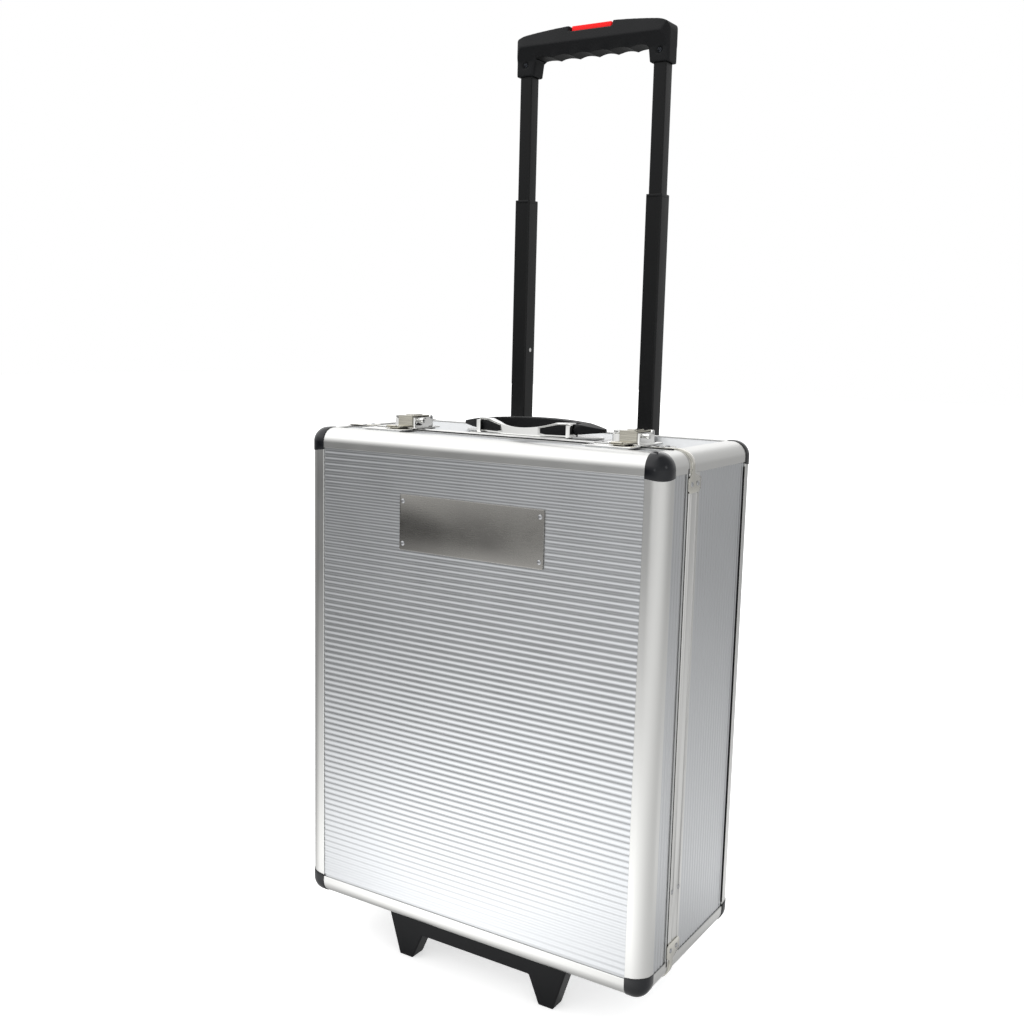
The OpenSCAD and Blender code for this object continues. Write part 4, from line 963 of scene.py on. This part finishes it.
@dataclass
class CaseShell:
    """Edge extrusions with finely rounded corners, and the ball corners.

    Attributes:
        size: the shared sizes.
        edge_steps: facets round each quarter of an edge.
        ball_steps: facets round each quarter of a ball corner.
    """

    size: CaseSize = SIZE
    edge_steps: int = 24
    ball_steps: int = 16

    def __post_init__(self) -> None:
        """Reads the case's outer box from the extrusions of both halves."""
        low, high = CAD.box("lid_front_extrusions")
        self.x0, self.x1, self.z0, self.z1 = low.x, high.x, low.z, high.z
        self.front = low.y
        self.back = CAD.box("body_back_extrusions")[1].y

    def build(self) -> None:
        """Makes every edge and ball corner."""
        self._face_edges("lid_front_extrusions", self.front, 1)
        self._face_edges("body_back_extrusions", self.back, -1)
        self._depth_edges("lid_depth_extrusions")
        self._depth_edges("body_depth_extrusions")
        self._caps("lid_corner_caps", self.front, 1)
        self._caps("body_corner_caps", self.back, -1)

    def _profile(self) -> list[Point2]:
        """Gives the section of an edge, its corner at the origin."""
        s = self.size
        c = s.chamfer
        turns = [math.pi / 2 * i / self.edge_steps for i in range(self.edge_steps + 1)]
        arc = [(s.edge_r * (1 - math.sin(a)), s.edge_r * (1 - math.cos(a))) for a in turns]
        return [(s.lip_end, c), (s.lip_end - c, 0), *arc, (0, s.lip_end - c), (c, s.lip_end),
                (s.lip, s.lip_end), (s.lip, s.slot), (s.board, s.slot), (s.board, s.lip_end),
                (s.inside, s.lip_end), (s.inside, s.inside), (s.lip_end, s.inside),
                (s.lip_end, s.board), (s.slot, s.board), (s.slot, s.lip), (s.lip_end, s.lip)]

    def _run(self, solid: Solid, place_at: Callable[[float, float, float], Point],
             start: float, end: float) -> None:
        """Adds one straight run of the edge section.

        Args:
            solid: the collection to add to.
            place_at: turns a place in the section and one along the run into a point.
            start: start of the run.
            end: end of the run.
        """
        outline = self._profile()
        solid.loft([[place_at(p, q, t) for p, q in outline] for t in (start, end)])

    def _corners(self) -> list[tuple[float, int, float, int]]:
        """Gives the case's four corners seen from the front, each with its ways inward."""
        return [(x, sx, z, sz) for x, sx in ((self.x0, 1), (self.x1, -1))
                for z, sz in ((self.z0, 1), (self.z1, -1))]

    def _face_edges(self, node: str, y: float, inward: float) -> None:
        """Makes the four edges round the front or back face.

        Args:
            node: the CAD node that they stand for.
            y: place of the face.
            inward: 1 or -1, the way along Y into the case.
        """
        reach = self.size.lip_end
        solid = Solid(node)
        for x, sx in ((self.x0, 1), (self.x1, -1)):
            self._run(solid, lambda p, q, t: (x + sx * p, y + inward * q, t),
                      self.z0 + reach, self.z1 - reach)
        for z, sz in ((self.z0, 1), (self.z1, -1)):
            self._run(solid, lambda p, q, t: (t, y + inward * p, z + sz * q),
                      self.x0 + reach, self.x1 - reach)
        solid.to_object()

    def _depth_edges(self, node: str) -> None:
        """Makes the four edges that run from front to back on one half of the case.

        Args:
            node: the CAD node that they stand for.
        """
        low, high = CAD.box(node)
        solid = Solid(node)
        for x, sx, z, sz in self._corners():
            self._run(solid, lambda p, q, t: (x + sx * p, t, z + sz * q), low.y, high.y)
        solid.to_object()

    def _caps(self, node: str, y: float, inward: float) -> None:
        """Makes the four ball corners of one face.

        Args:
            node: the CAD node that they stand for.
            y: place of the face.
            inward: 1 or -1, the way along Y into the case.
        """
        corner = self._ball_corner()
        solid = Solid(node)
        for x, sx, z, sz in self._corners():
            start = len(solid.bm.verts)
            solid.bm.from_mesh(corner)
            solid.bm.verts.ensure_lookup_table()
            for vert in solid.bm.verts[start:]:
                a, b, c = vert.co
                vert.co = (x + sx * a, y + inward * b, z + sz * c)
        solid.to_object(bevel=self.size.cap_bevel, angle=self.size.cap_angle)

    def _ball_corner(self) -> bpy.types.Mesh:
        """Gives one ball corner, hollow on the inside and with the case's corner at the origin."""
        s = self.size
        block, room = bmesh.new(), bmesh.new()
        self._cube(block, -s.proud, s.lip_end)
        self._cube(room, s.inside, s.lip_end + s.cap_room)
        outer = [e for e in block.edges if sum(
            1 for axis in range(3) if all(abs(v.co[axis] + s.proud) < WELD for v in e.verts)) == 2]
        bmesh.ops.bevel(block, geom=outer, offset=s.edge_r + s.proud, offset_type="OFFSET",
                        segments=self.ball_steps, profile=0.5, affect="EDGES", clamp_overlap=True)
        corner = cut_mesh(block, room)
        for vert in corner.vertices:
            at_end = [abs(v - s.lip_end) < WELD for v in vert.co]
            if at_end[2]:
                level = 1 - ((vert.co.x - vert.co.y) / s.lip_end) ** 2
                round_share = 0.0 if at_end[0] or at_end[1] else max(0.0, level)
                vert.co.z += s.skirt + s.bulge * round_share
        return corner

    @staticmethod
    def _cube(bm: bmesh.types.BMesh, low: float, high: float) -> None:
        """Adds a cube that reaches from low to high along X, Y and Z."""
        for vert in bmesh.ops.create_cube(bm, size=1.0)["verts"]:
            vert.co = Vector([(low + high) / 2 + v * (high - low) for v in vert.co])


# ------------------------------------------------------------------ plain CAD looks


@dataclass
class CadLooks:
    """Softened copies of the CAD nodes that need no more than rounded edges.

    Attributes:
        bevels: CAD node to the width of its rounding, in millimetres.
        moulded: moulded CAD node to its mesh size in millimetres and its smoothing passes.
        warps: moulded CAD node to its extra shape.
        finishes: CAD node to its own finish, where it differs from its slot's.
    """

    bevels: dict[str, float] = field(default_factory=lambda: {
        "back_panel": 0.0, "body_wall_panels": 0.0, "lid_front_panel": 0.0, "lid_wall_panels": 0.0,
        "body_boards": 0.0, "lid_boards": 0.0, "body_liner": 0.4, "lid_liner": 0.4,
        "body_rim_frame": 0.0, "lid_rim_frame": 0.0, "seam_brackets": 0.3, "name_plate": 0.25,
        "hinge_body_leaves": 0.2, "hinge_lid_leaves": 0.2, "hinge_pins": 0.3,
        "stay_body_brackets": 0.3, "stay_lid_brackets": 0.3, "stay_link_a_left": 0.3,
        "stay_link_a_right": 0.3, "stay_link_b_left": 0.3, "stay_link_b_right": 0.3,
        "latch_bases": 0.3, "latch_keepers": 0.3, "hasp_pins": 0.3, "hasp_left": 0.3,
        "hasp_right": 0.3, "key_barrel_left": 0.3, "key_barrel_right": 0.3,
        "push_button_left": 0.3, "push_button_right": 0.3, "handle_base": 0.4,
        "handle_insets": 0.2, "handle_pins": 0.2, "fixed_tubes": 0.0, "fixed_collars": 0.2,
        "tube_bracket": 0.4, "mid_tubes": 0.0, "mid_collars": 0.3, "lock_studs": 0.0,
        "inner_tubes": 0.0, "release_rods": 0.0, "axles": 0.4, "hub_left": 0.4, "hub_right": 0.4,
        "tyre_left": 0.0, "tyre_right": 0.0,
    })
    moulded: dict[str, tuple[float, int]] = field(default_factory=lambda: {
        "handle_grip": (0.5, 14), "pull_grip": (0.6, 18), "release_button": (0.6, 18),
        "foot_bar": (0.8, 4), "wheel_housings": (0.9, 3),
    })
    warps: dict[str, Callable[[Vector], Vector]] = field(default_factory=lambda: {
        "handle_grip": HANDLE_SHAPE.warp, "pull_grip": GRIP_SHAPE.warp,
    })
    finishes: dict[str, Finish] = field(default_factory=lambda: {
        "seam_brackets": BRACKET, "hasp_left": BRIGHT_NICKEL, "hasp_right": BRIGHT_NICKEL,
    })

    def build(self) -> None:
        """Makes every softened copy."""
        for node, bevel in self.bevels.items():
            ribbed = node.endswith(("wall_panels", "back_panel", "front_panel"))
            refined(node, self.finishes.get(node), bevel, SHOWN_RIB if ribbed else 1.0)
        for node, (voxel, passes) in self.moulded.items():
            moulded(node, voxel, passes, self.warps.get(node))


@dataclass(frozen=True)
class SeamShadowStrips:
    """Thin black strips on the lid's rim, all round the seam, and the rear fillets: painted shadow,
    standing for the shade in the seam's gap and where the side sheets meet the rear edges.

    Attributes:
        width: its width from front to back, in millimetres.
        side_width: its width at the sides.
        proud: how far it stands over the rim's lip at the top and bottom.
        side: how far it stands over the lip at the sides.
        sunk: how far it is let into the lip.
        short: how far in front of the seam it stops.
        ends: distance of its ends from the rounded corners.
        fillet: width of the black fillets that paint the shadow line where the side sheets meet the rear
            edges.
        fillet_sunk: how far the fillets lie under the edges' lips.
        fillet_in: how far they reach into the edges.
        fillet_ends: distance of their ends from the top and bottom edge extrusions.
    """

    width: float = 1.1
    side_width: float = 1.6
    proud: float = 0.9
    side: float = 0.1
    sunk: float = 0.4
    short: float = 0.02
    ends: float = 1.0
    fillet: float = 0.9
    fillet_sunk: float = 0.1
    fillet_in: float = 0.01
    fillet_ends: float = 4.0

    def build(self) -> None:
        """Makes the four strips and the two fillets."""
        (x0, _, z0), (x1, y, z1) = CAD.box("lid_rim_frame")
        reach = SIZE.edge_r + self.ends
        strips = Solid("lid_rim_frame", "seam_shadow_strip")
        for z, out in ((z0, -1), (z1, 1)):
            a, b = sorted((z + out * self.proud, z - out * self.sunk))
            strips.bar((x0 + reach, y - self.width, a), (x1 - reach, y - self.short, b))
        for x, out in ((x0, -1), (x1, 1)):
            a, b = sorted((x + out * self.side, x - out * self.sunk))
            strips.bar((a, y - self.side_width, z0 + reach), (b, y - self.short, z1 - reach))
        # Painted shadow: black strips that stand for the shade in the seam's gap.
        strips.to_object(SEAM_SHADOW_BLACK)

        y = CAD.box("body_back_extrusions")[0].y
        reach = SIZE.lip_end + self.fillet_ends
        fillets = Solid("body_back_extrusions", "rear_shadow_strips")
        for x, inward in ((x0, 1), (x1, -1)):
            a, b = sorted((x + inward * self.fillet_sunk, x + inward * SIZE.lip))
            fillets.bar((a, y - self.fillet, z0 + reach), (b, y + self.fillet_in, z1 - reach))
        # Painted shadow: black strips that stand for the shade where the side sheets meet the rear edges.
        fillets.to_object(SEAM_SHADOW_BLACK)


# ------------------------------------------------------------------ studio


@dataclass(frozen=True)
class Spot:
    """One small bright light in the surround, seen only in reflections.

    Attributes:
        azimuth: direction in degrees, 0 in front and positive to the right.
        height: elevation in degrees.
        width: half width in degrees.
        strength: brightness that it adds.
    """

    azimuth: float
    height: float
    width: float
    strength: float

    def direction(self) -> Vector:
        """Gives the unit vector towards the light."""
        a, e = math.radians(self.azimuth), math.radians(self.height)
        return Vector((math.sin(a) * math.cos(e), -math.cos(a) * math.cos(e), math.sin(e)))


@dataclass(frozen=True)
class Band:
    """Brightness of the surround or the floor along one ring, seen only in reflections.

    Attributes:
        at: elevation in degrees in the surround, or metres from the case on the floor.
        values: azimuth in degrees (0 in front, positive to the right) to brightness.
    """

    at: float
    values: tuple[tuple[float, float], ...]


SKY = (
    Band(-2.0, ((-180, 0.45), (-140, 0.45), (-100, 0.45), (-60, 0.05), (-36, 0.05), (5, 0.60),
                (35, 1.02), (65, 1.10), (95, 0.82), (125, 0.55), (157, 0.48), (180, 0.45))),
    Band(4.0, ((-180, 1.20), (-132, 1.20), (-60, 0.60), (-30, 0.55), (10, 0.75), (50, 0.75),
               (95, 0.60), (150, 0.60), (168, 0.75))),
    Band(12.0, ((-180, 1.30), (-132, 1.30), (-60, 0.85), (-30, 0.80), (10, 0.80), (50, 0.75),
                (95, 0.58), (150, 0.56), (168, 0.80))),
    Band(28.0, ((-180, 1.30), (-100, 1.70), (-60, 1.95), (-30, 1.90), (0, 1.30), (40, 0.55),
                (90, 0.50), (150, 0.50), (170, 0.90))),
)
FLOOR = (
    Band(0.03, ((-180, 0.50), (0, 0.60), (180, 0.50))),
    Band(0.2, ((-180, 0.80), (-140, 0.20), (-90, 0.25), (-55, 1.60), (-35, 2.60), (5, 2.40),
               (60, 0.75), (110, 0.80), (157, 1.35), (180, 1.00))),
    Band(2.0, SKY[0].values),
)
SPOTS = (Spot(5.0, 2.0, 7.0, 1.8), Spot(86.0, 17.0, 10.0, 1.6))
SPOT_CORE = 0.4                               # share of a spot's width at full strength
FULL_RAMP = 3.0                               # brightness that a white colour ramp stands for
FLOOR_SIZE = 12.0                             # metres from the floor's middle to its sides
FLOOR_CASE = (0.18, 0.07, 0.0)                # metres; the floor's distances start at this box
FLOOR_COLOUR = (0.9, 0.9, 0.9, 1.0)
FLOOR_GLOW = (0.5, 0.5, 0.5, 1.0)             # added for the camera, so that the floor is white
WHITE = (1.0, 1.0, 1.0, 1.0)


@dataclass
class Studio:
    """Camera, white surround and floor.

    Attributes:
        eye: the camera's place in millimetres.
        yaw: turn of the camera round Z, in degrees.
        pitch: how far it looks down.
        roll: its turn round its own axis.
        lens: focal length in millimetres.
        sensor: width of the sensor in millimetres.
        ambient: brightness of the surround for matt surfaces.
    """

    eye: Point = (556.1, -926.7, 588.2)
    yaw: float = 32.0946
    pitch: float = 8.4712
    roll: float = 1.3608
    lens: float = 41.12
    sensor: float = 36.0
    ambient: float = 1.2

    def build(self) -> None:
        """Makes everything that isn't part of the object."""
        self._camera()
        self._world()
        self._floor()

    def _camera(self) -> None:
        """Sets the camera and the plain view transform."""
        a, e, r = (math.radians(v) for v in (self.yaw, self.pitch, self.roll))
        back = Vector((math.sin(a) * math.cos(e), -math.cos(a) * math.cos(e), math.sin(e)))
        level = Vector((0, 0, 1)).cross(back).normalized()
        upright = back.cross(level)
        right = level * math.cos(r) + upright * math.sin(r)
        up = upright * math.cos(r) - level * math.sin(r)
        data = bpy.data.cameras.new("camera")
        data.lens = self.lens
        data.sensor_width = self.sensor
        camera = bpy.data.objects.new("camera", data)
        turn = Matrix((right, up, back)).transposed().to_4x4()
        camera.matrix_world = Matrix.Translation(Vector(self.eye) * MM) @ turn
        bpy.context.scene.collection.objects.link(camera)
        bpy.context.scene.camera = camera
        bpy.context.scene.view_settings.view_transform = "Standard"

    def _world(self) -> None:
        """Makes a surround that is white to the camera, even to matt and banded to shiny faces."""
        world = bpy.data.worlds.new("studio")
        bpy.context.scene.world = world
        tree = emptied_tree(world)
        add = partial(add_node, tree)
        path = add("ShaderNodeLightPath").outputs
        towards = add("ShaderNodeTexCoord").outputs["Generated"]
        split = add("ShaderNodeSeparateXYZ", {"Vector": towards}).outputs
        height = add("ShaderNodeMath", {0: split["Z"]}, operation="ARCSINE").outputs[0]
        strength = self._banded(tree, SKY, split, height, math.radians)
        for spot in SPOTS:
            facing = add("ShaderNodeVectorMath", {0: towards, 1: spot.direction()},
                         operation="DOT_PRODUCT")
            glow = add("ShaderNodeMapRange", {
                "Value": facing.outputs["Value"], "To Max": spot.strength,
                "From Min": math.cos(math.radians(spot.width)),
                "From Max": math.cos(math.radians(spot.width * SPOT_CORE)),
            }, interpolation_type="SMOOTHSTEP")
            strength = add("ShaderNodeMath", {0: strength, 1: glow.outputs["Result"]},
                           operation="ADD").outputs[0]
        seen, matt, shiny = (add("ShaderNodeBackground", {"Color": WHITE, "Strength": value})
                             for value in (1.0, self.ambient, strength))
        lit = add("ShaderNodeMixShader", {0: path["Is Glossy Ray"], 1: matt.outputs[0],
                                          2: shiny.outputs[0]})
        mix = add("ShaderNodeMixShader", {0: path["Is Camera Ray"], 1: lit.outputs[0],
                                          2: seen.outputs[0]})
        add("ShaderNodeOutputWorld", {"Surface": mix.outputs[0]})

    def _floor(self) -> None:
        """Makes a matt white floor with a banded glow that only shiny faces see."""
        half = FLOOR_SIZE
        mesh = bpy.data.meshes.new("floor")
        mesh.from_pydata([(-half, -half, 0), (half, -half, 0), (half, half, 0), (-half, half, 0)],
                         [], [(0, 1, 2, 3)])
        floor = linked("floor", mesh)
        material = bpy.data.materials.new("white_floor")
        mesh.materials.append(material)
        tree = emptied_tree(material)
        add = partial(add_node, tree)
        path = add("ShaderNodeLightPath").outputs
        matt = add("ShaderNodeBsdfDiffuse", {"Color": FLOOR_COLOUR})
        glow = add("ShaderNodeEmission", {"Strength": path["Is Camera Ray"], "Color": FLOOR_GLOW})
        plain = add("ShaderNodeAddShader", {0: matt.outputs[0], 1: glow.outputs[0]})
        here = add("ShaderNodeNewGeometry").outputs["Position"]
        split = add("ShaderNodeSeparateXYZ", {"Vector": here}).outputs
        beyond = here
        for operation, other in (("ABSOLUTE", (0, 0, 0)), ("SUBTRACT", FLOOR_CASE),
                                 ("MAXIMUM", (0, 0, 0))):
            beyond = add("ShaderNodeVectorMath", {0: beyond, 1: other},
                         operation=operation).outputs["Vector"]
        away = add("ShaderNodeVectorMath", {0: beyond}, operation="LENGTH").outputs["Value"]
        log_away = add("ShaderNodeMath", {0: away, 1: math.e}, operation="LOGARITHM").outputs[0]
        strength = self._banded(tree, FLOOR, split, log_away, math.log)
        banded = add("ShaderNodeEmission", {"Strength": strength, "Color": WHITE})
        mix = add("ShaderNodeMixShader", {0: path["Is Glossy Ray"], 1: plain.outputs[0],
                                          2: banded.outputs[0]})
        add("ShaderNodeOutputMaterial", {"Surface": mix.outputs[0]})

    @staticmethod
    def _banded(tree: bpy.types.NodeTree, bands: Sequence[Band],
                split: bpy.types.bpy_prop_collection, place_at: bpy.types.NodeSocket,
                scale: Callable[[float], float]) -> bpy.types.NodeSocket:
        """Adds the nodes that go over from each band to the next.

        Args:
            tree: the tree to add to.
            bands: the bands in order.
            split: sockets with the X, Y and Z of a place or direction.
            place_at: where that lies among the bands.
            scale: turns a band's own place into the measure of place_at.

        Returns:
            The brightness.
        """
        add = partial(add_node, tree)
        front = add("ShaderNodeMath", {0: split["Y"], 1: -1.0}, operation="MULTIPLY")
        turn = add("ShaderNodeMath", {0: split["X"], 1: front.outputs[0]}, operation="ARCTAN2")
        azimuth = add("ShaderNodeMapRange", {"Value": turn.outputs[0], "From Min": -math.pi,
                                             "From Max": math.pi})
        strength = None
        for i, band in enumerate(bands):
            ramp = add("ShaderNodeValToRGB", {"Fac": azimuth.outputs["Result"]})
            ramp.color_ramp.interpolation = "B_SPLINE"
            stops = ramp.color_ramp.elements
            while len(stops) < len(band.values):
                stops.new(0.5)
            for stop, (angle, _) in zip(stops, band.values):
                stop.position = (angle + 180) / 360
            for stop, (_, value) in zip(stops, band.values):
                stop.color = (*[value / FULL_RAMP] * 3, 1)
            if strength is None:
                strength = ramp.outputs["Color"]
                continue
            share = add("ShaderNodeMapRange", {"Value": place_at, "From Min": scale(bands[i - 1].at),
                                               "From Max": scale(band.at)})
            blend = add("ShaderNodeMixRGB", {0: share.outputs["Result"], 1: strength,
                                             2: ramp.outputs["Color"]})
            strength = blend.outputs["Color"]
        full = add("ShaderNodeMath", {0: strength, 1: FULL_RAMP}, operation="MULTIPLY")
        return full.outputs[0]


def main() -> None:
    logging.basicConfig(level=logging.INFO)
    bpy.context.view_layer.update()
    for part in (CaseShell(), CadLooks(), Rivets(), GripScrews(), SeamShadowStrips(), Studio()):
        part.build()


if __name__ == "__main__":
    main()
